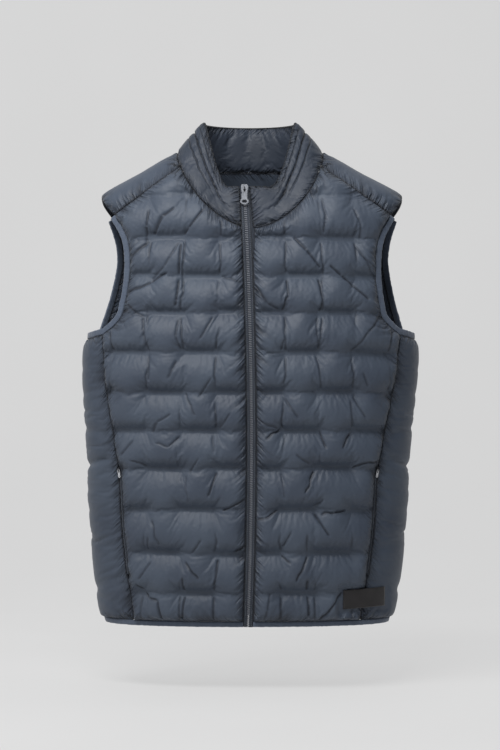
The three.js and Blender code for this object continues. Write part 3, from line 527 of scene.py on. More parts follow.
# The fronts' longer creases, listed: from (x, height) to (x, height), and how deep, in mm.
CREASES = {
    1: [
        (57, -126, 73, -143, 2.2), (73, -143, 92, -168, 2.2), (106, -165, 122, -179, 2.2),
        (122, -179, 160, -210, 2.2), (97, -70, 100, -102, 1.5), (100, -102, 98, -118, 1.5),
        (140, -84, 147, -104, 1.5), (147, -104, 148, -126, 1.5), (143, -136, 157, -157, 1.5),
        (157, -157, 164, -171, 1.5), (47, -179, 49, -206, 2.2), (49, -206, 41, -227, 2.2),
        (91, -183, 97, -210, 2.2), (97, -210, 94, -230, 2.2), (4, -192, 22, -216, 1.5),
        (22, -216, 36, -227, 1.5), (45, -235, 47, -266, 1.5), (47, -266, 41, -283, 1.5),
        (92, -238, 90, -252, 1.5), (90, -252, 93, -283, 1.5), (180, -234, 159, -255, 1.5),
        (159, -255, 139, -286, 1.5), (154, -314, 161, -332, 1.5), (50, -350, 68, -374, 1.5),
        (144, -350, 159, -374, 1.5), (90, -290, 98, -336, 1.5), (12, -378, 40, -392, 1.5),
        (139, -353, 142, -392, 1.5), (43, -392, 25, -405, 2.2), (97, -394, 106, -417, 2.2),
        (140, -399, 129, -417, 2.2), (66, -426, 85, -442, 1.5), (187, -438, 164, -436, 2.2),
        (164, -436, 145, -448, 2.2), (91, -452, 79, -479, 2.2), (46, -450, 50, -486, 1.0),
        (40, -506, 23, -517, 2.2), (23, -517, 13, -517, 2.2), (104, -490, 90, -502, 1.5),
        (92, -512, 111, -539, 2.2), (102, -512, 119, -509, 2.2), (119, -509, 135, -508, 2.2),
        (59, -535, 47, -556, 1.5), (81, -539, 82, -564, 1.5), (45, -571, 59, -579, 2.2),
        (82, -571, 66, -602, 2.2), (81, -602, 84, -653, 2.2), (31, -622, 27, -643, 1.5),
        (27, -643, 23, -658, 1.5), (132, -622, 97, -660, 2.2),
    ],
    -1: [
        (108, -83, 124, -94, 2.2), (124, -94, 140, -125, 2.2), (144, -87, 145, -109, 2.2),
        (145, -109, 147, -133, 2.2), (147, -133, 169, -153, 2.2), (68, -87, 88, -112, 2.2),
        (88, -112, 98, -125, 2.2), (103, -133, 121, -165, 1.5), (121, -165, 141, -185, 1.5),
        (99, -135, 101, -177, 2.2), (48, -179, 12, -188, 1.5), (118, -175, 141, -188, 2.2),
        (141, -188, 171, -202, 2.2), (101, -185, 104, -213, 2.2), (104, -213, 106, -220, 2.2),
        (53, -238, 69, -266, 1.5), (149, -238, 141, -289, 1.5), (141, -289, 139, -322, 1.5),
        (102, -241, 104, -263, 1.5), (104, -263, 96, -282, 1.5), (102, -297, 112, -319, 1.5),
        (176, -213, 159, -230, 1.5), (159, -230, 149, -235, 1.5), (53, -319, 69, -346, 1.5),
        (89, -342, 74, -370, 1.5), (108, -370, 125, -381, 1.5), (125, -381, 133, -398, 1.5),
        (26, -370, 39, -392, 1.5), (95, -404, 110, -415, 1.5), (110, -415, 127, -410, 1.5),
        (159, -410, 174, -428, 1.5), (161, -434, 137, -447, 1.5), (69, -432, 81, -454, 1.5),
        (44, -454, 55, -484, 2.2), (86, -458, 83, -494, 1.0), (4, -490, 34, -507, 2.2),
        (132, -520, 122, -554, 1.5), (137, -542, 137, -574, 1.5), (64, -546, 76, -565, 1.5),
        (7, -557, 21, -567, 2.2), (134, -580, 149, -602, 1.5), (85, -578, 67, -599, 2.2),
        (40, -576, 46, -610, 2.2), (89, -599, 86, -625, 2.2), (86, -625, 88, -657, 2.2),
        (153, -610, 136, -630, 2.2), (136, -630, 123, -632, 2.2), (123, -632, 116, -657, 2.2),
    ],
}
LABEL = {"left": 133, "right": 191, "top": -618.5, "bottom": -645.5, "skew": 1.2, "lift": 5.2, "thick": 0.8}


def bonds(first, seed):
    """The bonded lines, as (start, end, height, fall), each lying a little out of true."""
    rng = np.random.default_rng(seed)
    lines = []
    for row, height in enumerate(QUILT):
        for n in range(-2, 5):
            shift, level, fall = rng.uniform(-1, 1, 3) * OUT_OF_TRUE
            if (row + n) % 2 == 0:
                start = first + n * BRICK + shift
                lines.append((start, start + BRICK, height + level, fall))
    return lines


def bond_points(lines, spacing):
    points = []
    for start, end, height, fall in lines:
        xs = np.linspace(start, end, int(round((end - start) / spacing)) + 1)
        levels = height + fall * (xs - (start + end) / 2)
        points += [(x, level + dz) for dz in (-BOND_HALF, 0, BOND_HALF) for x, level in zip(xs, levels)]
    return np.array(points)


def bond_distances(x, height, lines):
    """How far each point is above a bonded line, and how far below one. Filling sinks, so a puff is
    fuller above a line than below it, and the distances are stretched to say so."""
    over, under = np.full(len(x), 1e3), np.full(len(x), 1e3)
    for start, end, level, fall in lines:
        dx = np.maximum(np.maximum(start - x, x - end), 0)
        rise = height - level - fall * (np.clip(x, start, end) - (start + end) / 2)
        away = np.hypot(dx, np.maximum(np.abs(rise) - BOND_HALF, 0))
        beside = smooth(dx / 14)
        over = np.where(rise > -BOND_HALF, np.minimum(over, away * lerp(1.3, 1, beside)), over)
        under = np.where(rise < BOND_HALF, np.minimum(under, away * lerp(0.75, 1, beside)), under)
    return over, under


def trough(height):
    """Rows stay shallow channels between their bonded lines too, where nothing holds them down."""
    level = np.array(QUILT)[np.argmin(np.abs(height[:, None] - QUILT), axis=1)]
    return 0.5 * np.exp(-(((height - level) / 9) ** 2))


def rounded(t):
    """A quarter of an ellipse: steep at 0, level from 1 onwards."""
    return np.sqrt(1 - (1 - np.clip(t, 0, 1)) ** 2)


def under_label(points, base, normal, x, height, side):
    """The label's stitching keeps the wearer's left panels from swelling through it."""
    if side < 0:
        return points
    dx = np.maximum(np.maximum(LABEL["left"] - x, x - LABEL["right"]), 0)
    dz = np.maximum(np.maximum(LABEL["bottom"] - height, height - LABEL["top"]), 0)
    rise = np.sum((points - base) * normal, axis=1)
    most = lerp(LABEL["lift"] - 1.0, 20.0, smooth((np.hypot(dx, dz) - 3) / 18))
    return points - normal * np.maximum(rise - most, 0)[:, None]


def to_cut(line, face):
    """(x, height) on a face of the form, as (arc, height) on the flat cut."""
    turn = turn_at(line[:, 0], line[:, 1], face)
    return np.stack([arc_of(turn, line[:, 1]), line[:, 1]], 1)


def neckline(side):
    """The front neckline from the yoke seam down to the zip, as (x, height)."""
    start = math.asin((BACK_NECK / FRONT_NECK) ** (NECK_CURVE / 2))
    around = np.linspace(start, math.pi / 2, 240)
    x = NECK_HALF_WIDTH * np.cos(around) ** (2 / NECK_CURVE)
    height = FRONT_NECK * np.sin(around) ** (2 / NECK_CURVE)
    keep = x > ZIP_HALF_GAP + side * zip_lean(height)
    return np.stack([x[keep], height[keep]], 1)


def front_outline(side, spacing):
    down = np.linspace(FRONT_NECK + 0.3, HEM_TOP, 300)
    zip_edge = np.stack([ZIP_HALF_GAP + side * zip_lean(down), down], 1)
    across = np.linspace(zip_edge[-1, 0], float(panel_edge(HEM_TOP, "front")), 60)
    hem = np.stack([across, np.full(60, float(HEM_TOP))], 1)
    up = np.linspace(HEM_TOP, BACK_NECK, 600)
    outside = np.stack([panel_edge(up, "front"), up], 1)
    parts = (neckline(side), zip_edge, hem, outside)
    return np.vstack([resample(to_cut(part, "front"), spacing)[:-1] for part in parts])


def back_outline(spacing):
    """The whole back, its middle at arc 0 and its right side negative."""
    up = np.linspace(HEM_TOP, BACK_NECK, 600)
    edge = np.stack([panel_edge(up, "back"), up], 1)
    right_up = back_cut(edge * [-1, 1])
    left_down = back_cut(edge[::-1])
    across = np.linspace(-1, 1, 120)
    top = back_cut(np.stack([across * edge[-1, 0], np.full(120, float(BACK_NECK))], 1))
    hem = back_cut(np.stack([-across * edge[0, 0], np.full(120, float(HEM_TOP))], 1))
    return np.vstack([resample(part, spacing)[:-1] for part in (right_up, top, left_down, hem)])


def back_cut(line):
    turn = turn_at(line[:, 0], line[:, 1], "back")
    arc = arc_of(np.full(len(line), 2.0), line[:, 1]) - arc_of(turn, line[:, 1])
    return np.stack([np.sign(line[:, 0]) * arc, line[:, 1]], 1)


def front_place(cut, side):
    turn = turn_of(cut[:, 0], cut[:, 1])
    return on_form(turn, cut[:, 1]), form_normal(turn, cut[:, 1]), np.full(len(cut), side)


def back_place(cut, _):
    turn = turn_of(arc_of(np.full(len(cut), 2.0), cut[:, 1]) - np.abs(cut[:, 0]), cut[:, 1])
    return on_form(turn, cut[:, 1]), form_normal(turn, cut[:, 1]), np.where(cut[:, 0] < 0, -1, 1)


def flip(vectors, sides):
    return vectors * np.stack([sides, np.ones(len(sides)), np.ones(len(sides))], 1)


def set_on_body(points, sides):
    """Points of the left-hand form, put on their own side of the garment as it hangs."""
    out = flip(points, sides)
    out[:, 0] += sway(out[:, 2])
    return out


def panel(name, loop, held, place, side, quilt, spacing, puff, seed, folds=None):
    """A filled panel on the form. puff has spare cloth, pressure, how high it starts, the most that it
    may rise, and bending. quilt has the bonded lines and where their columns start, or is None."""
    cut, faces, order = lattice(loop, spacing, held, np.random.default_rng(seed))
    base, normal, sides = place(cut, side)
    x = base[:, 0]
    seam = distance(cut, loop)
    full = rounded(seam / 20)
    if quilt:
        over, under = bond_distances(x, cut[:, 1], quilt["lines"])
        low = np.clip(under / 29, 0, 1)
        full = np.minimum(full, np.minimum(rounded(over / 29), low * (2 - low))) * (1 - trough(cut[:, 1]))
        seam = np.minimum(np.minimum(over, under), seam)
    rng = np.random.default_rng(seed + 50)
    rise = puff["start"] * full + rng.uniform(-0.4, 0.4, len(cut)) * (seam > 1.5)
    start, facing_out = flip(base + normal * (WALL + rise)[:, None], sides), flip(normal, sides)
    turned = facing(start, faces, facing_out)
    blown = blow(name, start, turned, seam < 0.3, puff["spare"], puff["pressure"], bend=puff["bend"])
    filled = flip(blown, sides)
    filled = limit(filled, base, normal, puff["most"] + WALL)
    if folds:
        filled = filled - normal * folds(cut)[:, None]
    swollen = np.clip(np.sum((filled - base) * normal, axis=1) / 12, 0, 1.2)
    filled[:, 2] -= SAG * swollen ** 1.5 * smooth(seam / 6)
    filled = under_label(filled, base, normal, x, cut[:, 1], side)
    outer = patch(
        set_on_body(filled, sides), flip(normal, sides), faces, order, cut, seam, loop, 1.0, x,
        quilt["first"] if quilt else None,
    )
    cut_in, faces_in, order_in = lattice(loop, 13.0, [], np.random.default_rng(seed + 90))
    base_in, normal_in, sides_in = place(cut_in, side)
    slack = np.random.default_rng(seed + 91).uniform(0, 2.2, len(cut_in)) * smooth(distance(cut_in, loop) / 12)
    lining = set_on_body(base_in - normal_in * (WALL + slack)[:, None], sides_in)
    inner = patch(
        lining, flip(normal_in, sides_in), faces_in, order_in, cut_in, np.full(len(cut_in), 30.0), loop, 0.0,
    )
    return sewn_shell(name, outer, inner, len(loop), creases=CREASES[side] if quilt and side else ())


QUILTED = {"spare": 0.02, "pressure": 12, "start": 9.5, "most": 13.5, "bend": 0.02}
BACK_QUILTED = {"spare": 0.03, "pressure": 12, "start": 8.0, "most": 11.0, "bend": 0.02}


def quilted_front(side):
    lines = bonds(FRONT_FIRST, 15 + side)
    held = bond_points(lines, 2.7)
    held = held[(held[:, 0] > 1) & (held[:, 0] < 214)]
    name = "quilted_front_left" if side > 0 else "quilted_front_right"
    return panel(
        name, front_outline(side, 2.7), to_cut(held, "front"), front_place, side,
        {"lines": lines, "first": FRONT_FIRST}, 2.7, QUILTED, 7 + side,
    )


def quilted_back():
    lines = bonds(BRICK / 2, 18)
    held = bond_points(lines, 4.0)
    held = held[(held[:, 0] >= 0) & (held[:, 0] < 218)]
    both = np.vstack([held, held[held[:, 0] > 0] * [-1, 1]])
    return panel(
        "quilted_back", back_outline(4.0), back_cut(both), back_place, 0,
        {"lines": lines, "first": BRICK / 2}, 4.0, BACK_QUILTED, 20,
    )


FRONTS = {side: quilted_front(side) for side in (1, -1)}
BACK = quilted_back()
for obj in (*FRONTS.values(), BACK):
    print(obj.name, len(obj.data.vertices), "points")

# %% [markdown]
# ## Side panels and shoulder yokes
# These are smooth, with less filling. The side panel runs from the pocket seam round to the back
# seam; it is cut loose enough to fold softly across. The yoke lies over the ridge of the shoulder.

# %% Smooth panels
DIP, DIP_FROM = 6, -287
SIDE_PADS = {"spare": 0.03, "pressure": 9, "start": 2.5, "most": 8.0, "bend": 0.03}
YOKE_PADS = {"spare": 0.02, "pressure": 8, "start": 2.5, "most": 6.0, "bend": 0.03}
SIDE_FOLDS = [
    (-300, -318, 0.8, 6), (-335, -352, 1.2, 8), (-372, -362, 1.0, 6), (-404, -384, 2.4, 8),
    (-436, -458, 4.5, 7), (-472, -488, 1.0, 6), (-520, -500, 1.0, 9), (-566, -530, 1.3, 10),
    (-604, -640, 1.8, 9), (-648, -600, 1.0, 7),
]


def side_span(height):
    front = along(SIDE_SEAM, 1, height) + SEAM_GAP / 2 + pocket_gap(height)
    back = along(SIDE_SEAM, 2, height) + SEAM_GAP / 2
    return turn_at(front, height, "front"), turn_at(back, height, "back")


def side_cut(share, height):
    """Where a share of the way across the side panel lies, as (arc, height)."""
    low = height - DIP * np.sin(math.pi * share) * smooth((height - DIP_FROM) / (ARMPIT - DIP_FROM))
    first, last = side_span(low)
    return np.stack([arc_of(lerp(first, last, share), low), low], 1)


def side_outline(spacing):
    up, across = np.linspace(HEM_TOP, ARMPIT, 400), np.linspace(0, 1, 80)
    parts = (
        side_cut(across, np.full(80, float(HEM_TOP))),
        side_cut(np.ones(400), up),
        side_cut(across[::-1], np.full(80, float(ARMPIT))),
        side_cut(np.zeros(400), up[::-1]),
    )
    return np.vstack([resample(part, spacing)[:-1] for part in parts])


def side_folds(cut):
    """Soft folds across it: height at the front seam and at the back seam, depth, half breadth."""
    first, last = side_span(cut[:, 1])
    start, end = arc_of(first, cut[:, 1]), arc_of(last, cut[:, 1])
    share = np.clip((cut[:, 0] - start) / (end - start), 0, 1)
    deep = np.zeros(len(cut))
    for front, back, depth, half in SIDE_FOLDS:
        line = lerp(front, back, share) + 2.5 * hills(share * 5 + front, 12)
        away = (cut[:, 1] - line) / half
        deep += depth * np.where(away > 0, np.exp(-away ** 2), np.exp(-(away * 1.8) ** 2))
    return deep * smooth(share * 6) * smooth((1 - share) * 6)


def side_panel(side):
    name = "side_panel_left" if side > 0 else "side_panel_right"
    return panel(
        name, side_outline(3.3), np.zeros((0, 2)), front_place, side, None, 3.3, SIDE_PADS, 33 + side, side_folds,
    )


def yoke_point(share, fall):
    """share runs from the front seam over the shoulder to the back seam, fall from neck to tip."""
    seam = lerp(BACK_NECK, SHOULDER_POINT, fall)
    height = lerp(seam, lerp(0, RIDGE_DROP, fall), 4 * share * (1 - share))
    first = turn_at(yoke_x(seam, "front") + YOKE_GAP, seam, "front")
    last = turn_at(yoke_x(seam, "back") + YOKE_GAP, seam, "back")
    return lerp(first, last, share), height


YOKE_WIDTH, YOKE_LENGTH = 100.0, 118.0


def yoke_place(cut, side):
    turn, height = yoke_point(cut[:, 0] / YOKE_WIDTH, cut[:, 1] / YOKE_LENGTH)
    return on_form(turn, height), form_normal(turn, height), np.full(len(cut), side)


def yoke_panel(side):
    corners = np.array([(0, 0), (YOKE_WIDTH, 0), (YOKE_WIDTH, YOKE_LENGTH), (0, YOKE_LENGTH)], float)
    loop = resample(corners, 3.2, closed=True)
    name = "yoke_panel_left" if side > 0 else "yoke_panel_right"
    return panel(name, loop, np.zeros((0, 2)), yoke_place, side, None, 3.2, YOKE_PADS, 43 + side)


SIDES = {side: side_panel(side) for side in (1, -1)}
YOKES = {side: yoke_panel(side) for side in (1, -1)}
for obj in (*SIDES.values(), *YOKES.values()):
    print(obj.name, len(obj.data.vertices), "points")

# %% [markdown]
# ## The stand collar
# One padded band round the neckline, higher at the back. Outside, a lengthwise crease runs round
# each front; inside, the cloth gathers upright at the back of the neck. Its top edge is turned.

# %% Collar
COLLAR = {
    "width": 66, "front_depth": 72, "back_depth": 66, "front": -57, "back": 46,
    "turn_from": 26, "turn_to": 80, "lean_to": 30, "lift": 0.45, "edge": 2.0,
    "raise_front": 4.5, "drop_back": 3.0,
}
CREASE = {"start": 20, "end": 42, "low": 0.34, "high": 0.66, "depth": 3.0}
COLLAR_HEIGHT = 88.0


def neck_base(side):
    """The neckline on one side, from the zip over the yoke's end to the middle back."""
    front = neckline(side)[::-1]
    line = [np.stack([turn_at(front[:, 0], front[:, 1], "front"), front[:, 1]], 1)]
    share = np.linspace(0, 1, 60)[1:-1]
    line.append(np.stack(yoke_point(share, np.zeros(58)), 1))
    across = np.linspace(float(yoke_x(BACK_NECK, "back")), 0, 100)
    back = np.full(100, float(BACK_NECK))
    line.append(np.stack([turn_at(across, back, "back"), back], 1))
    return np.vstack(line)


def collar_ribs():
    """Ribs from the right end of the collar round the back to the left, each from base to top edge."""
    ribs = {}
    for side in (1, -1):
        line = neck_base(side)
        base = on_form(line[:, 0], line[:, 1])
        normal = form_normal(line[:, 0], line[:, 1])
        angle = np.degrees(np.arctan2(base[:, 0], -base[:, 1]))
        radians = np.radians(angle)
        lean = side * zip_lean(COLLAR["front"])
        x = COLLAR["width"] * np.sin(radians) + lean * np.exp(-((angle / COLLAR["lean_to"]) ** 2))
        x += (ZIP_HALF_GAP + lean - x[0]) * np.exp(-(((angle - angle[0]) / 8) ** 2))
        depth = np.where(angle <= 90, COLLAR["front_depth"], COLLAR["back_depth"])
        climb = smooth((angle - COLLAR["turn_from"]) / (COLLAR["turn_to"] - COLLAR["turn_from"]))
        rim = lerp(COLLAR["front"] + COLLAR["raise_front"], COLLAR["back"] - COLLAR["drop_back"], climb)
        top = np.stack([x, -depth * np.cos(radians), rim], 1)
        middle = base + top
        heading = np.gradient(middle, axis=0)
        rib_normal = unit(np.cross(heading, top - base))
        sides = np.full(len(base), side)
        ribs[side] = [flip(base, sides), flip(normal, sides), flip(top, sides), flip(rib_normal, sides), angle]
    joined = [np.concatenate([ribs[-1][k], ribs[1][k][-2::-1]]) for k in range(5)]
    length = np.concatenate([[0], np.cumsum(np.linalg.norm(np.diff((joined[0] + joined[2]) / 2, axis=0), axis=1))])
    return length, joined


RIB_LENGTH, (RIB_BASE, RIB_SEAM_NORMAL, RIB_TOP, RIB_NORMAL, RIB_ANGLE) = collar_ribs()


def rib_at(place, values):
    if values.ndim == 1:
        return np.interp(place, RIB_LENGTH, values)
    return np.stack([np.interp(place, RIB_LENGTH, values[:, k]) for k in range(3)], 1)


def collar_place(cut, _=None):
    """Middle of the collar's cloth at (length, height) on its cut, and the outward normal there."""
    up = np.clip(cut[:, 1] / COLLAR_HEIGHT, 0, 1)
    base, top = rib_at(cut[:, 0], RIB_BASE), rib_at(cut[:, 0], RIB_TOP)
    tall = np.linalg.norm(top - base, axis=1)
    points = lerp(base, top, lerp(COLLAR["lift"] / tall, 1, up)[:, None])
    blend = smooth(up / 0.3)[:, None]
    normal = unit(lerp(rib_at(cut[:, 0], RIB_SEAM_NORMAL), rib_at(cut[:, 0], RIB_NORMAL), blend))
    return points, normal, np.ones(len(cut))


def crease_height(angle):
    climb = smooth((angle - CREASE["start"]) / (CREASE["end"] - CREASE["start"]))
    return lerp(CREASE["low"], CREASE["high"], climb) * COLLAR_HEIGHT


# The collar's long creases beside its fold: offset in collar heights, depth in mm, and the degrees
# round the neck between which each runs.
COLLAR_CREASES = [(0.0, 3.4, 22, 98), (-0.2, 2.2, 34, 92), (0.19, 1.8, 28, 84)]


def collar():
    long = float(RIB_LENGTH[-1])
    corners = np.array([(0, 0), (long, 0), (long, COLLAR_HEIGHT), (0, COLLAR_HEIGHT)])
    spacing = 3.0
    loop = resample(corners, spacing, closed=True)
    at = np.arange(14, long - 14, 3.0)
    line = np.stack([at, crease_height(rib_at(at, RIB_ANGLE))], 1)
    faces_of = []
    for title, sign, held, seed in (("outer", 1, line, 61), ("inner", -1, np.zeros((0, 2)), 62)):
        cut, faces, order = lattice(loop, spacing, held, np.random.default_rng(seed))
        middle, normal, _ = collar_place(cut)
        edge = distance(cut, loop)
        seam = edge.copy()
        if len(held):
            away = np.abs(cut[:, 1] - crease_height(rib_at(cut[:, 0], RIB_ANGLE)))
            beyond = np.maximum(np.maximum(at[0] - cut[:, 0], cut[:, 0] - at[-1]), 0)
            seam = np.minimum(seam, np.hypot(away, beyond))
        thick = lerp(WALL, COLLAR["edge"], smooth(cut[:, 1] / COLLAR_HEIGHT / 0.3))
        rng = np.random.default_rng(seed + 5)
        rise = np.minimum(seam * 0.3, 2.5) + rng.uniform(-0.5, 0.5, len(cut)) * (seam > 1.5)
        on_line = (seam < 0.5) & (edge > 2)
        rise = np.where(on_line, 1.2, rise)
        start = middle + normal * sign * (thick + rise)[:, None]
        most = (3.5, 6.5)[sign < 0]
        turned = facing(start, faces, normal * sign)
        spare = 0.04 if sign > 0 else 0.06
        filled = blow("collar_" + title, start, turned, seam < 0.5, spare, 6, bend=0.02)
        filled = limit(filled, middle, normal * sign, most + 1)
        filled[:, 0] += sway(filled[:, 2])
        share = 0.9 if sign > 0 else 0.3
        faces_of.append(patch(filled, normal * sign, faces, order, cut, edge, loop, share))
    creases = []
    along_it = np.linspace(2, long - 2, 60)
    turned_by = np.abs(rib_at(along_it, RIB_ANGLE))
    level = crease_height(turned_by)
    for offset, depth, first, last in COLLAR_CREASES:
        height = level + offset * COLLAR_HEIGHT
        fade = smooth((turned_by - first) / 20) * smooth((last - turned_by) / 25)
        creases += [
            (along_it[a], height[a], along_it[a + 3], height[a + 3], depth * fade[a + 1])
            for a in range(len(along_it) - 3) if fade[a + 1] > 0.05
        ]
    at_top = np.clip((loop[:, 1] - COLLAR_HEIGHT + 1) / 1, 0, 1)
    at_zip = ((loop[:, 0] < 0.5) | (loop[:, 0] > long - 0.5)) & (loop[:, 1] > 6)
    bulge = np.maximum(at_top * 1.6, at_zip * 0.5)
    return sewn_shell("stand_collar", faces_of[0], faces_of[1], len(loop), bulge, creases)


COLLAR_PIECE = collar()
print(COLLAR_PIECE.name, len(COLLAR_PIECE.data.vertices), "points;", round(float(RIB_LENGTH[-1])), "mm long")

# %% [markdown]
# ## Bindings and tapes
# The armholes and hem are bound with soft ribbed elastic, folded over the edge. Each is one profile
# carried along the sewn edge, with the small ripples that elastic makes when it is sewn stretched.

# %% Bindings and tapes
def frames_along(points, normals):
    heading = unit(np.gradient(points, axis=0))
    across = unit(np.cross(normals, heading))
    return across, np.cross(heading, across)


def strip(name, points, normals, sides, profile, ripple=0.0, wave=6.0, seed=3):
    """A closed band: the profile, as (across, out) in mm, carried along the line and capped."""
    rng = np.random.default_rng(seed)
    across, out = frames_along(points, normals)
    length = np.concatenate([[0], np.cumsum(np.linalg.norm(np.diff(points, axis=0), axis=1))])
    knots = np.arange(0, length[-1] + wave, wave / 2)
    lift = np.interp(length, knots, rng.uniform(-1, 1, len(knots)) * ripple)
    slide = np.interp(length, knots, rng.uniform(-1, 1, len(knots)) * ripple * 0.8)
    n, count = len(profile), len(points)
    rings = []
    for a, o in profile:
        wide = (a - profile[:, 0].min()) / max(np.ptp(profile[:, 0]), 1e-6)
        shift_out, shift_across = lift * smooth(wide), slide * smooth(wide)
        rings.append(points + across * (a + shift_across)[:, None] + out * (o + shift_out)[:, None])
    body = np.stack(rings, 1).reshape(-1, 3)
    body = flip(body, np.repeat(sides, n))
    body[:, 0] += sway(body[:, 2])
    ends = [body[:n].mean(0), body[-n:].mean(0)]
    faces = []
    for k in range(count - 1):
        for i in range(n):
            a, b = k * n + i, k * n + (i + 1) % n
            faces.append((a, b, b + n, a + n))
    low, high = count * n, count * n + 1
    for i in range(n):
        faces.append((low, (i + 1) % n, i))
        faces.append((high, (count - 1) * n + i, (count - 1) * n + (i + 1) % n))
    points_all = np.vstack([body, *[e[None] for e in ends]])
    volume = 0.0
    for face in faces:
        p = points_all[list(face)]
        for k in range(1, len(face) - 1):
            volume += np.dot(p[0], np.cross(p[k], p[k + 1]))
    if volume < 0:
        faces = [face[::-1] for face in faces]
    round_way = np.concatenate([[0], np.cumsum(np.linalg.norm(np.diff(profile, axis=0), axis=1))])
    uv = np.stack([np.repeat(length, n), np.tile(round_way, count)], 1)
    uv = np.vstack([uv, [[0, 0], [length[-1], 0]]])
    return cloth_object(name, points_all, faces, uv, {}), float(length[-1])


def folded(low, high, half, around=22):
    """A flattened loop, as (across, out), like binding folded over an edge."""
    angle = np.linspace(0, 2 * math.pi, around, endpoint=False)
    wide = (high - low) / 2
    a = np.sign(np.cos(angle)) * np.abs(np.cos(angle)) ** 0.45 * wide + (low + high) / 2
    o = np.sign(np.sin(angle)) * np.abs(np.sin(angle)) ** 0.75 * half
    return np.stack([a, o], 1)


def line_3d(turn_height, spacing):
    turn, height = turn_height
    points = on_form(turn, height)
    length = np.concatenate([[0], np.cumsum(np.linalg.norm(np.diff(points, axis=0), axis=1))])
    places = np.linspace(0, length[-1], int(length[-1] / spacing) + 1)
    turn, height = np.interp(places, length, turn), np.interp(places, length, height)
    return on_form(turn, height), form_normal(turn, height)


def armhole_line():
    down = np.linspace(SHOULDER_POINT, ARMPIT, 160)
    share = np.linspace(0, 1, 60)[1:-1]
    under = side_cut(share, np.full(58, float(ARMPIT)))
    front = turn_at(along(ARMHOLE, 1, down), down, "front")
    back = turn_at(along(ARMHOLE, 2, down[::-1]), down[::-1], "back")
    turn = np.concatenate([front, turn_of(under[:, 0], under[:, 1]), back])
    return turn, np.concatenate([down, under[:, 1], down[::-1]])


def armhole_binding(side):
    points, normals = line_3d(armhole_line(), 2.4)
    name = "armhole_elastic_left" if side > 0 else "armhole_elastic_right"
    profile = folded(SEAM_GAP, SEAM_GAP + 9, 1.7)
    return strip(name, points, normals, np.full(len(points), side), profile, 0.35, 5.0, 71 + side)


def hem_line():
    """From the right front round the back to the left front, below the panels."""
    first = float(turn_at(ZIP_HALF_GAP - zip_lean(HEM), HEM_TOP, "front"))
    last = float(turn_at(ZIP_HALF_GAP + zip_lean(HEM), HEM_TOP, "front"))
    around = np.linspace(-2 + first, 2 - last, 460)
    return 2 - np.abs(around), np.where(around < 0, -1, 1)


def hem_binding():
    turn, sides = hem_line()
    height = np.full(len(turn), float(HEM_TOP))
    points, normals = flip(on_form(turn, height), sides), flip(form_normal(turn, height), sides)
    profile = folded(SEAM_GAP, HEM_TOP - HEM, 1.7)
    return strip("hem_elastic", points, normals, np.ones(len(turn)), profile, 0.3, 5.0, 75)


def zip_line(start, end, spacing):
    """The middle of the zip, up the form to the neck seam and then up the collar's front edge."""
    height = np.linspace(start, end, 500)
    share = np.clip((height - FRONT_NECK) / (COLLAR["front"] - FRONT_NECK), 0, 1)[:, None]
    low = on_form(np.zeros(500), np.minimum(height, FRONT_NECK))
    high = np.array([0, -COLLAR["front_depth"], COLLAR["front"]])
    points = np.where(height[:, None] > FRONT_NECK, lerp(low[-1] * 0 + on_form(0.0, FRONT_NECK), high, share), low)
    on_collar = lerp(float(zip_x(FRONT_NECK)), float(zip_x(COLLAR["front"])), share[:, 0])
    points[:, 0] = np.where(height > FRONT_NECK, on_collar, zip_x(height))
    points = resample(points, spacing)
    return points, np.tile([0.0, -1.0, 0.0], (len(points), 1))


def tape_profile():
    """From between the teeth, level, then down and away under the front panel's edge."""
    line = np.array([(0.4, 0), (4.2, 0), (5.6, -0.1), (6.1, -0.9), (6.6, -1.9), (8, -2.1), (10, -2.1), (13.2, -2.1)])
    normal = unit(np.stack([-np.gradient(line[:, 1]), np.gradient(line[:, 0])], 1))
    return np.vstack([line - normal * 0.3, (line + normal * 0.3)[::-1]])


def zip_tape(name, side):
    points, normals = zip_line(HEM, COLLAR["front"] - 0.5, 3.0)
    points = points - np.stack([sway(points[:, 2]), 0 * points[:, 2], 0 * points[:, 2]], 1)
    profile = tape_profile() * [-side, 1]
    return strip(name, points, normals, np.ones(len(points)), profile)


ELASTICS = {side: armhole_binding(side) for side in (1, -1)}
HEM_PIECE = hem_binding()
TAPES = {
    1: zip_tape("zip_webbing_left", 1),
    -1: zip_tape("zip_webbing_right", -1),
}
for obj, long in (*ELASTICS.values(), HEM_PIECE, *TAPES.values()):
    print(obj.name, round(long), "mm long")

# %% [markdown]
# ## Teeth and stitches
# A moulded zip is two columns of beads, each seated in the gap between two on the other side. One
# small node group sets a rounded bead at an even pitch along a line, and serves for thread as well:
# a stitch is a long thin bead.

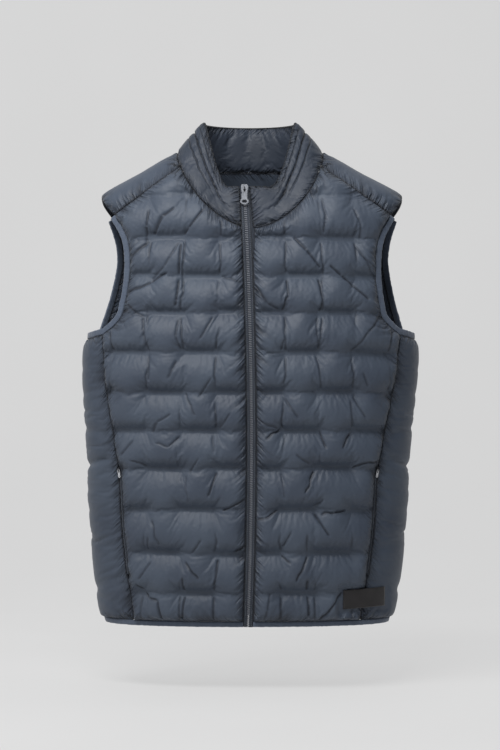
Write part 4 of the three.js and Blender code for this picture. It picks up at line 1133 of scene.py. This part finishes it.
# %% Beads along lines
def bead_group(title, material):
    """Geometry nodes: beads of a size, at a pitch, along the lines that come in."""
    tree = bpy.data.node_groups.new(title, "GeometryNodeTree")
    face = tree.interface
    face.new_socket("Geometry", in_out="INPUT", socket_type="NodeSocketGeometry")
    face.new_socket("Pitch", in_out="INPUT", socket_type="NodeSocketFloat")
    face.new_socket("Size", in_out="INPUT", socket_type="NodeSocketVector")
    face.new_socket("Roundness", in_out="INPUT", socket_type="NodeSocketInt")
    face.new_socket("Geometry", in_out="OUTPUT", socket_type="NodeSocketGeometry")

    def node(kind, **values):
        made = tree.nodes.new(kind)
        for key, value in values.items():
            if isinstance(value, bpy.types.NodeSocket):
                tree.links.new(value, made.inputs[key])
            else:
                setattr(made, key, value)
        return made

    given = tree.nodes.new("NodeGroupInput").outputs
    curve = node("GeometryNodeMeshToCurve", Mesh=given["Geometry"])
    even = node("GeometryNodeResampleCurve", mode="LENGTH", Curve=curve.outputs[0], Length=given["Pitch"])
    tangent = node("GeometryNodeInputTangent")
    normal = node("GeometryNodeInputNormal")
    aim = node("FunctionNodeAlignRotationToVector", axis="Y", Vector=tangent.outputs[0])
    cube = node("GeometryNodeMeshCube", Size=given["Size"])
    bead = node("GeometryNodeSubdivisionSurface", Mesh=cube.outputs[0], Level=given["Roundness"])
    points = node("GeometryNodeInstanceOnPoints", Points=even.outputs[0], Instance=bead.outputs[0], Rotation=aim.outputs[0])
    real = node("GeometryNodeRealizeInstances", Geometry=points.outputs[0])
    soft = node("GeometryNodeSetShadeSmooth", Geometry=real.outputs[0])
    coat = node("GeometryNodeSetMaterial", Geometry=soft.outputs[0])
    coat.inputs["Material"].default_value = material
    out = tree.nodes.new("NodeGroupOutput")
    tree.links.new(coat.outputs[0], out.inputs["Geometry"])
    tree.nodes.remove(normal)
    return tree


def beads(name, lines, pitch, size, roundness, material):
    """Beads along several lines of points in metres, as one plain mesh."""
    points = np.vstack(lines)
    mesh = bpy.data.meshes.new(name)
    edges, first = [], 0
    for line in lines:
        edges += [(first + k, first + k + 1) for k in range(len(line) - 1)]
        first += len(line)
    mesh.from_pydata([tuple(p) for p in points], edges, [])
    obj = bpy.data.objects.new(name, mesh)
    bpy.context.scene.collection.objects.link(obj)
    modifier = obj.modifiers.new("beads", "NODES")
    group = bead_group("beads_" + name, material)
    modifier.node_group = group
    values = {"Pitch": pitch, "Size": size, "Roundness": roundness}
    for item in group.interface.items_tree:
        if item.in_out == "INPUT" and item.name in values:
            modifier[item.identifier] = values[item.name]
    bake(obj)
    obj.data.name = name
    return obj

# %% [markdown]
# ## Materials
# Downproof nylon is a very fine, slightly glossy weave. Its look comes from soft broad highlights,
# from small puckers beside every held line, and from faint crinkles where the cloth has been packed.
# Shader maths is written with ordinary operators on a small class that wraps a node socket.

# %% Shader tools
class Signal:
    """A shader socket that adds, subtracts, multiplies and divides like a number."""

    def __init__(self, tree, socket):
        self.tree, self.socket = tree, socket

    def math(self, operation, *values, clamp=False):
        made = self.tree.nodes.new("ShaderNodeMath")
        made.operation, made.use_clamp = operation, clamp
        for k, value in enumerate(values):
            plug(self.tree, made.inputs[k], value)
        return Signal(self.tree, made.outputs[0])

    def __add__(self, other):
        return self.math("ADD", self, other)

    def __radd__(self, other):
        return self.math("ADD", other, self)

    def __sub__(self, other):
        return self.math("SUBTRACT", self, other)

    def __rsub__(self, other):
        return self.math("SUBTRACT", other, self)

    def __mul__(self, other):
        return self.math("MULTIPLY", self, other)

    def __rmul__(self, other):
        return self.math("MULTIPLY", other, self)

    def __truediv__(self, other):
        return self.math("DIVIDE", self, other)

    def __rtruediv__(self, other):
        return self.math("DIVIDE", other, self)

    def __pow__(self, other):
        return self.math("POWER", self, other)


def plug(tree, target, value):
    if isinstance(value, Signal):
        tree.links.new(value.socket, target)
    elif isinstance(value, bpy.types.NodeSocket):
        tree.links.new(value, target)
    else:
        target.default_value = value


class Finish:
    """A material under construction: its principled shader and the nodes that feed it."""

    def __init__(self, name, **constants):
        self.material = bpy.data.materials.new(name)
        self.material.use_nodes = True
        self.tree = self.material.node_tree
        self.shader = next(n for n in self.tree.nodes if n.type == "BSDF_PRINCIPLED")
        for key, value in constants.items():
            self.shader.inputs[key.replace("_", " ")].default_value = value

    def node(self, kind, settings=None, output=0, **inputs):
        made = self.tree.nodes.new(kind)
        for key, value in (settings or {}).items():
            setattr(made, key, value)
        for key, value in inputs.items():
            plug(self.tree, made.inputs[key.replace("_", " ")], value)
        return Signal(self.tree, made.outputs[output])

    def coords(self, kind="UV"):
        return self.node("ShaderNodeTexCoord", output=kind)

    def attribute(self, name):
        return self.node("ShaderNodeAttribute", {"attribute_name": name}, output="Fac")

    def stretched(self, vector, scale, turn=0.0):
        return self.node("ShaderNodeMapping", Vector=vector, Scale=scale, Rotation=(0, 0, turn))

    def noise(self, vector, scale, detail=3.0, rough=0.5, kind="FBM"):
        return self.node(
            "ShaderNodeTexNoise", {"noise_type": kind, "normalize": True},
            Vector=vector, Scale=scale, Detail=detail, Roughness=rough,
        )

    def ramp(self, value, low, high):
        return self.node("ShaderNodeMapRange", {"clamp": True}, Value=value, **{"From_Min": low, "From_Max": high})

    def mix(self, factor, a, b):
        made = self.tree.nodes.new("ShaderNodeMix")
        made.data_type = "RGBA"
        plug(self.tree, made.inputs["Factor"], factor)
        plug(self.tree, made.inputs[6], a)
        plug(self.tree, made.inputs[7], b)
        return Signal(self.tree, made.outputs[2])

    def bump(self, height, distance, strength=1.0, below=None):
        made = self.tree.nodes.new("ShaderNodeBump")
        plug(self.tree, made.inputs["Height"], height)
        made.inputs["Distance"].default_value = distance
        made.inputs["Strength"].default_value = strength
        if below is not None:
            plug(self.tree, made.inputs["Normal"], below)
        return Signal(self.tree, made.outputs[0])

    def send(self, **inputs):
        for key, value in inputs.items():
            plug(self.tree, self.shader.inputs[key.replace("_", " ")], value)
        return self.material


def rgb(red, green, blue):
    """A colour given as it looks on a screen, from 0 to 255, in the shader's linear values."""
    linear = [(c / 255) / 12.92 if c <= 10.3 else ((c / 255 + 0.055) / 1.055) ** 2.4 for c in (red, green, blue)]
    return (*linear, 1.0)


def nylon(name, dark, light, deep, crinkle=1.0):
    """Slate downproof nylon. dark and light are the ends of its slight unevenness; deep is the painted shade that
    darkens its creases, its sewn edges and the valleys between its gathers.
    """
    f = Finish(name, Sheen_Weight=0.06, Sheen_Roughness=0.45, IOR=1.5, Specular_IOR_Level=0.3)
    uv = f.coords()
    near = 1.0 - f.ramp(f.attribute("seam"), 0.0, 16.0)
    cloudy = f.noise(uv, 14.0, 2.0)
    crumple = f.noise(f.stretched(uv, (1.0, 1.5, 1.0), 0.5), 75.0, 4.0, 0.55, "RIDGED_MULTIFRACTAL")
    pucker = f.noise(f.stretched(uv, (1.3, 0.55, 1.0), -0.35), 130.0, 2.0, 0.5)
    weave = f.noise(f.stretched(uv, (1.0, 1.0, 1.0)), 2600.0, 1.0)
    folds = f.bump(crumple * (0.25 + near * 0.75), 0.0011 * crinkle, 0.75)
    small = f.bump(pucker * near, 0.0012 * crinkle, 0.6, folds)
    slant = f.attribute("along") - f.attribute("edge") * 0.75
    gathers = f.noise(f.node("ShaderNodeCombineXYZ", X=slant, Y=f.attribute("edge") * 0.12), 0.16, 2.0, 0.6)
    beside_seam = 1.0 - f.ramp(f.attribute("edge"), 2.0, 18.0)
    beside_seam = beside_seam * beside_seam
    gathered = f.bump((gathers - 0.5) * beside_seam, 0.012, 0.9, small)
    fine = f.bump(weave, 0.00012, 0.35, gathered)
    colour = f.mix(f.ramp(cloudy, 0.3, 0.7), dark, light)
    # Painted shade in the creases: darker towards deep where the cloth is drawn in, for the shadow in folds that the
    # mesh is too coarse to cast.
    folded = f.ramp(f.attribute("crease"), 0.2, 2.2) * 0.75
    # Painted shade along the sewn edges, where the panels turn under at their seams.
    sewn = (1.0 - f.ramp(f.attribute("edge"), 0.6, 2.6)) * 0.8
    # Painted shade in the valleys between the gathers beside a seam.
    between = (1.0 - f.ramp(gathers, 0.32, 0.48)) * beside_seam * 0.6
    # The three painted shades pull the base colour towards deep.
    colour = f.mix(1.0 - (1.0 - folded) * (1.0 - sewn) * (1.0 - between), colour, deep)
    rough = 0.44 + cloudy * 0.16
    return f.send(Base_Color=colour, Roughness=rough, Normal=fine)


def elastic(name, dark, light):
    """Ribbed elastic: fine cords along the band, which drift a little."""
    f = Finish(name, Sheen_Weight=0.2, Sheen_Roughness=0.5, Specular_IOR_Level=0.35)
    uv = f.coords()
    ribs = f.node(
        "ShaderNodeTexWave", {"wave_type": "BANDS", "bands_direction": "Y"},
        Vector=uv, Scale=260.0, Distortion=0.4, Detail=1.0,
    )
    pulled = f.noise(f.stretched(uv, (1.0, 0.2, 1.0)), 260.0, 2.0)
    normal = f.bump(pulled, 0.0009, 0.7, f.bump(ribs, 0.0003, 0.6))
    return f.send(Base_Color=f.mix(pulled, dark, light), Roughness=0.55 + ribs * 0.2, Normal=normal)


def webbing(name, dark, light):
    """Zip tape: a close herringbone of matt yarn."""
    f = Finish(name, Sheen_Weight=0.25, Sheen_Roughness=0.5, Specular_IOR_Level=0.3)
    uv = f.coords()
    bands = [
        f.node(
            "ShaderNodeTexWave", {"wave_type": "BANDS", "bands_direction": "DIAGONAL"},
            Vector=f.stretched(uv, (1.0, sign, 1.0)), Scale=520.0, Distortion=0.6,
        )
        for sign in (1.0, -1.0)
    ]
    weave = bands[0] * bands[1]
    normal = f.bump(weave, 0.0003, 0.8)
    return f.send(Base_Color=f.mix(weave, dark, light), Roughness=0.75 + weave * 0.1, Normal=normal)


def moulded(name, dark, light):
    """Moulded resin of the zip teeth, worn a little smoother on top."""
    f = Finish(name, Specular_IOR_Level=0.5, Coat_Weight=0.2, Coat_Roughness=0.25)
    grain = f.noise(f.coords("Object"), 900.0, 2.0)
    return f.send(Base_Color=f.mix(grain, dark, light), Roughness=0.3 + grain * 0.2, Normal=f.bump(grain, 0.0001, 0.4))


def metal(name, dark, light, low, high):
    """Cast zip metal: tumbled smooth, with fine marks and a slightly uneven polish."""
    f = Finish(name, Metallic=1.0)
    place = f.coords("Object")
    marks = f.noise(f.stretched(place, (1.0, 1.0, 0.25)), 900.0, 3.0)
    cloudy = f.noise(place, 180.0, 2.0)
    colour = f.mix(cloudy, dark, light)
    return f.send(Base_Color=colour, Roughness=low + marks * (high - low), Normal=f.bump(marks, 0.00006, 0.5))


def woven_label(name):
    """A black satin label with its fine cross threads, left bare."""
    f = Finish(name, Sheen_Weight=0.2, Sheen_Roughness=0.4, Specular_IOR_Level=0.4)
    uv = f.coords()
    rows = f.node(
        "ShaderNodeTexWave", {"wave_type": "BANDS", "bands_direction": "Y"}, Vector=uv, Scale=520.0, Distortion=0.3,
    )
    worn = f.noise(uv, 60.0, 2.0)
    normal = f.bump(worn, 0.0006, 0.4, f.bump(rows, 0.00015, 0.6))
    return f.send(Base_Color=f.mix(worn, rgb(22, 21, 22), rgb(44, 41, 42)), Roughness=0.5 + rows * 0.2, Normal=normal)


def thread(name, dark, light):
    """Sewing thread: a twisted strand with a dull shine."""
    f = Finish(name, Sheen_Weight=0.3, Specular_IOR_Level=0.4)
    twist = f.noise(f.coords("Object"), 2400.0, 1.0)
    return f.send(Base_Color=f.mix(twist, dark, light), Roughness=0.55 + twist * 0.15, Normal=f.bump(twist, 0.0001, 0.5))


# The third colour of each nylon is its painted shade for creases, sewn edges and gathers. The collar's nylon is the
# body's cloth painted darker, as painted shade.
COLLAR_NYLON_PAINTED_SHADE = nylon("collar_nylon_painted_shade", rgb(41, 48, 59), rgb(49, 56, 68), rgb(11, 14, 20), 0.6)
NYLON = nylon("quilted_nylon", rgb(59, 67, 80), rgb(69, 78, 91), rgb(17, 21, 30))
SMOOTH_NYLON = nylon("smooth_nylon", rgb(56, 64, 77), rgb(66, 75, 88), rgb(17, 21, 30), 1.15)
ELASTIC = elastic("elastic_binding", rgb(62, 72, 88), rgb(82, 93, 110))
WEBBING = webbing("zip_tape", rgb(34, 40, 50), rgb(62, 70, 82))
RESIN = moulded("zip_teeth", rgb(96, 100, 108), rgb(132, 135, 142))
METAL = metal("zip_metal", rgb(60, 62, 66), rgb(88, 90, 94), 0.34, 0.54)
PALE_METAL = metal("pocket_pull_metal", rgb(188, 190, 196), rgb(214, 216, 220), 0.4, 0.6)
BLACK_LABEL = woven_label("black_label")
PALE_THREAD = thread("pale_thread", rgb(96, 104, 116), rgb(136, 143, 153))
SLATE_THREAD = thread("slate_thread", rgb(54, 62, 75), rgb(76, 85, 98))
BLACK_THREAD = thread("black_thread", rgb(18, 18, 19), rgb(36, 35, 36))


def wear(obj, material):
    obj.data.materials.clear()
    obj.data.materials.append(material)


for obj in (*FRONTS.values(), BACK):
    wear(obj, NYLON)
for obj in (*SIDES.values(), *YOKES.values()):
    wear(obj, SMOOTH_NYLON)
# The collar wears the body's nylon painted darker, as painted shade.
wear(COLLAR_PIECE, COLLAR_NYLON_PAINTED_SHADE)
for obj, _ in (*ELASTICS.values(), HEM_PIECE):
    wear(obj, ELASTIC)
for obj, _ in TAPES.values():
    wear(obj, WEBBING)
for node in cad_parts:
    if any(word in node for word in ("slider", "pull")):
        worn = bpy.data.objects[node] if isinstance(node, str) else node
        wear(worn, PALE_METAL if "pocket_pull" in worn.name else METAL)
print(len(bpy.data.materials), "materials")

# %% [markdown]
# ## Small parts
# The chain's two columns, the thread that sews the tapes and the bindings, the pocket chains and
# the bare black label over the left side seam.

# %% Teeth, stitches, pockets and label
def zip_side_line(shift, start, end, out=0.0):
    points, _ = zip_line(start, end, 1.5)
    return (points + [shift, -out, 0]) * MM


TOOTH_PITCH = 3.2
chain_top = -58.0
TEETH = beads(
    "zip_chain",
    [
        zip_side_line(-0.95, HEM + 1.0, chain_top - 6),
        zip_side_line(0.95, HEM + 1.0 + TOOTH_PITCH / 2, chain_top - 6),
    ],
    TOOTH_PITCH * MM, (0.0031, 0.0019, 0.0026), 2, RESIN,
)


def surface_line(turn, height, out, sides):
    points = flip(on_form(turn, height) + form_normal(turn, height) * out, sides)
    points[:, 0] += sway(points[:, 2])
    return points * MM


def offset_line(turn_height, aside, out, side):
    """A line beside a sewn edge, on the surface of its binding."""
    points, normals = line_3d(turn_height, 1.5)
    across, up = frames_along(points, normals)
    moved = flip(points + across * aside + up * out, np.full(len(points), side))
    moved[:, 0] += sway(moved[:, 2])
    return moved * MM


STITCH = (0.00045, 0.0021, 0.00045)
zip_thread = [zip_side_line(shift, HEM + 2, chain_top - 1, 0.75) for shift in (-4.5, 4.5)]
ZIP_STITCHES = beads("zip_stitches", zip_thread, 2.9 * MM, STITCH, 1, PALE_THREAD)
armhole_thread = [offset_line(armhole_line(), 1.3, 1.75, side) for side in (1, -1)]
ARMHOLE_STITCHES = beads("armhole_stitches", armhole_thread, 3.0 * MM, STITCH, 1, SLATE_THREAD)
hem_turn, hem_sides = hem_line()
hem_thread = surface_line(hem_turn, np.full(len(hem_turn), HEM_TOP - 1.4), 1.75, hem_sides)
HEM_STITCHES = beads("hem_stitches", [hem_thread[6:-6]], 3.0 * MM, STITCH, 1, SLATE_THREAD)


def pocket_chain(side):
    """The closed chain in the pocket's mouth: a narrow dark strip with small cross ribs."""
    height = np.arange(POCKET_BOTTOM + 7, -452 - 3.6, 0.6)
    turn = turn_at(along(SIDE_SEAM, 1, height), height, "front")
    points, normals = on_form(turn, height), form_normal(turn, height)
    rib = 0.25 * np.sin(np.arange(len(height)) * math.pi)
    points = points + normals * rib[:, None]
    name = "pocket_chain_left" if side > 0 else "pocket_chain_right"
    return strip(name, points, normals, np.full(len(points), side), folded(-1.35, 1.35, 0.75, 10))[0]


POCKETS = {side: pocket_chain(side) for side in (1, -1)}


def label_patch():
    """A rectangle of satin ribbon on the surface, its four edges folded under."""
    columns, rows = 40, 20
    share, rise = np.meshgrid(np.linspace(0, 1, columns + 1), np.linspace(0, 1, rows + 1))
    share, rise = share.ravel(), rise.ravel()
    height = lerp(LABEL["bottom"], LABEL["top"], rise) + lerp(-LABEL["skew"], LABEL["skew"], share)
    x = lerp(LABEL["left"], LABEL["right"], share)
    turn = turn_at(x, height, "front")
    edge = np.minimum(np.minimum(share, 1 - share) * 58, np.minimum(rise, 1 - rise) * 27)
    soft = np.random.default_rng(9).uniform(-1, 1, (4, 3))
    ripple = sum(a * 0.12 * np.sin(b * 6 + share * (4 + 3 * k) + rise * 3 * c) for k, (a, b, c) in enumerate(soft))
    shape = []
    for sign in (1, -1):
        lift = LABEL["lift"] + sign * LABEL["thick"] / 2 * (0.35 + 0.65 * smooth(edge / 1.2)) + ripple
        shape.append(set_on_body(on_form(turn, height) + form_normal(turn, height) * lift[:, None], np.ones(len(x))))
    wide = columns + 1
    cells = [(j * wide + i, j * wide + i + 1, (j + 1) * wide + i + 1, (j + 1) * wide + i) for j in range(rows) for i in range(columns)]
    rim = [i for i in range(columns)] + [j * wide + columns for j in range(rows)]
    rim += [rows * wide + i for i in range(columns, 0, -1)] + [j * wide for j in range(rows, 0, -1)]
    under = len(x)
    faces = [tuple(c) for c in cells] + [tuple(k + under for k in reversed(c)) for c in cells]
    faces += [(rim[k - 1], rim[k - 1] + under, rim[k] + under, rim[k]) for k in range(len(rim))]
    uv = np.stack([share * 58, rise * 27], 1)
    obj = cloth_object("black_label_patch", np.vstack(shape), faces, np.vstack([uv, uv]), {})
    inset = [(0.03, 0.05), (0.97, 0.05), (0.97, 0.95), (0.03, 0.95), (0.03, 0.05)]
    border = resample(np.array(inset) * [58, 27], 0.8) / [58, 27]
    level = lerp(LABEL["bottom"], LABEL["top"], border[:, 1]) + lerp(-LABEL["skew"], LABEL["skew"], border[:, 0])
    turn = turn_at(lerp(LABEL["left"], LABEL["right"], border[:, 0]), level, "front")
    return obj, surface_line(turn, level, LABEL["lift"] + LABEL["thick"] / 2 + 0.1, np.ones(len(level)))


LABEL_PIECE, label_thread = label_patch()
LABEL_STITCHES = beads("label_stitches", [label_thread], 2.2 * MM, (0.0004, 0.0015, 0.0004), 1, BLACK_THREAD)
for obj in POCKETS.values():
    wear(obj, WEBBING)
wear(LABEL_PIECE, BLACK_LABEL)
print("chain", len(TEETH.data.polygons), "faces; zip stitches", len(ZIP_STITCHES.data.polygons))

# %% [markdown]
# ## Joining the frame
# Every piece rides on the jacket itself and stands for the CAD node that holds its place.

# %% Ride and replace
def stand_for(obj, nodes):
    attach(obj, "jacket")
    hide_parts(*nodes)


SIDE_NAMES = {1: "left", -1: "right"}
for side, word in SIDE_NAMES.items():
    stand_for(FRONTS[side], [f"front_{word}"])
    stand_for(SIDES[side], [f"side_{word}"])
    stand_for(YOKES[side], [f"yoke_{word}"])
    stand_for(ELASTICS[side][0], [f"armhole_binding_{word}"])
    stand_for(TAPES[side][0], [f"zip_tape_{word}"])
    stand_for(POCKETS[side], [f"pocket_zip_{word}"])
stand_for(BACK, ["back"])
stand_for(COLLAR_PIECE, ["collar"])
stand_for(HEM_PIECE[0], ["hem_binding"])
stand_for(TEETH, ["zip_teeth"])
stand_for(LABEL_PIECE, ["label"])
for obj, slot in ((ZIP_STITCHES, "zip_tape"), (ARMHOLE_STITCHES, "elastic_binding"), (HEM_STITCHES, "elastic_binding"), (LABEL_STITCHES, "black_label")):
    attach(obj, "jacket")

# %% [markdown]
# ## Studio
# The photograph has a plain pale wall, one large soft light high on the left and little shadow.

# %% Floor, lights and camera
def sweep_wall():
    """A floor that curves up into a wall behind, as one sheet of paper does."""
    floor, back, radius = -0.762, 1.7, 0.7
    profile = [(-5.5, floor), (back - radius, floor)]
    for k in range(1, 13):
        angle = k / 12 * math.pi / 2
        profile.append((back - radius + radius * math.sin(angle), floor + radius * (1 - math.cos(angle))))
    profile.append((back, 4.5))
    points = [(x, y, z) for y, z in profile for x in (-5.0, 5.0)]
    faces = [(2 * k, 2 * k + 1, 2 * k + 3, 2 * k + 2) for k in range(len(profile) - 1)]
    obj = new_mesh("studio_paper", points, faces)
    obj.data.shade_smooth()
    f = Finish("studio_paper", Specular_IOR_Level=0.2, Emission_Strength=1.0)
    grain = f.noise(f.coords("Object"), 3.0, 2.0)
    glow = f.mix(grain, rgb(194, 194, 194), rgb(197, 197, 197))
    f.send(
        Base_Color=f.mix(grain, rgb(104, 104, 104), rgb(108, 108, 108)), Roughness=0.8 + grain * 0.1,
        Emission_Color=glow,
    )
    wear(obj, f.material)
    return obj


sweep_wall()


def area_light(name, place, aim, size, power, tint=(1.0, 1.0, 1.0)):
    data = bpy.data.lights.new(name, "AREA")
    data.shape, data.size, data.size_y = "RECTANGLE", size[0], size[1]
    data.energy, data.color = power, tint
    obj = bpy.data.objects.new(name, data)
    obj.location = place
    obj.rotation_euler = (Vector(aim) - Vector(place)).to_track_quat("-Z", "Y").to_euler()
    bpy.context.scene.collection.objects.link(obj)
    return obj


area_light("key", (-0.5, -1.2, 1.15), (0, 0, -0.1), (1.4, 0.6), 40)
area_light("side", (-2.6, -1.2, 0.4), (0, 0, -0.35), (0.8, 1.6), 12)
area_light("top", (0.3, -0.1, 2.0), (0, 0, -0.3), (1.6, 1.2), 12)
world = bpy.data.worlds.new("studio")
world.use_nodes = True
world.node_tree.nodes["Background"].inputs[0].default_value = (0.9, 0.93, 1.0, 1)
world.node_tree.nodes["Background"].inputs[1].default_value = 0.12
bpy.context.scene.world = world

camera_data = bpy.data.cameras.new("camera")
camera_data.lens, camera_data.sensor_width = 116.67, 36
camera = bpy.data.objects.new("camera", camera_data)
camera.location = (-0.0007, -3.5, -0.318)
camera.rotation_euler = (math.pi / 2, 0, 0)
bpy.context.scene.collection.objects.link(camera)
bpy.context.scene.camera = camera
bpy.context.scene.view_settings.view_transform = "Standard"
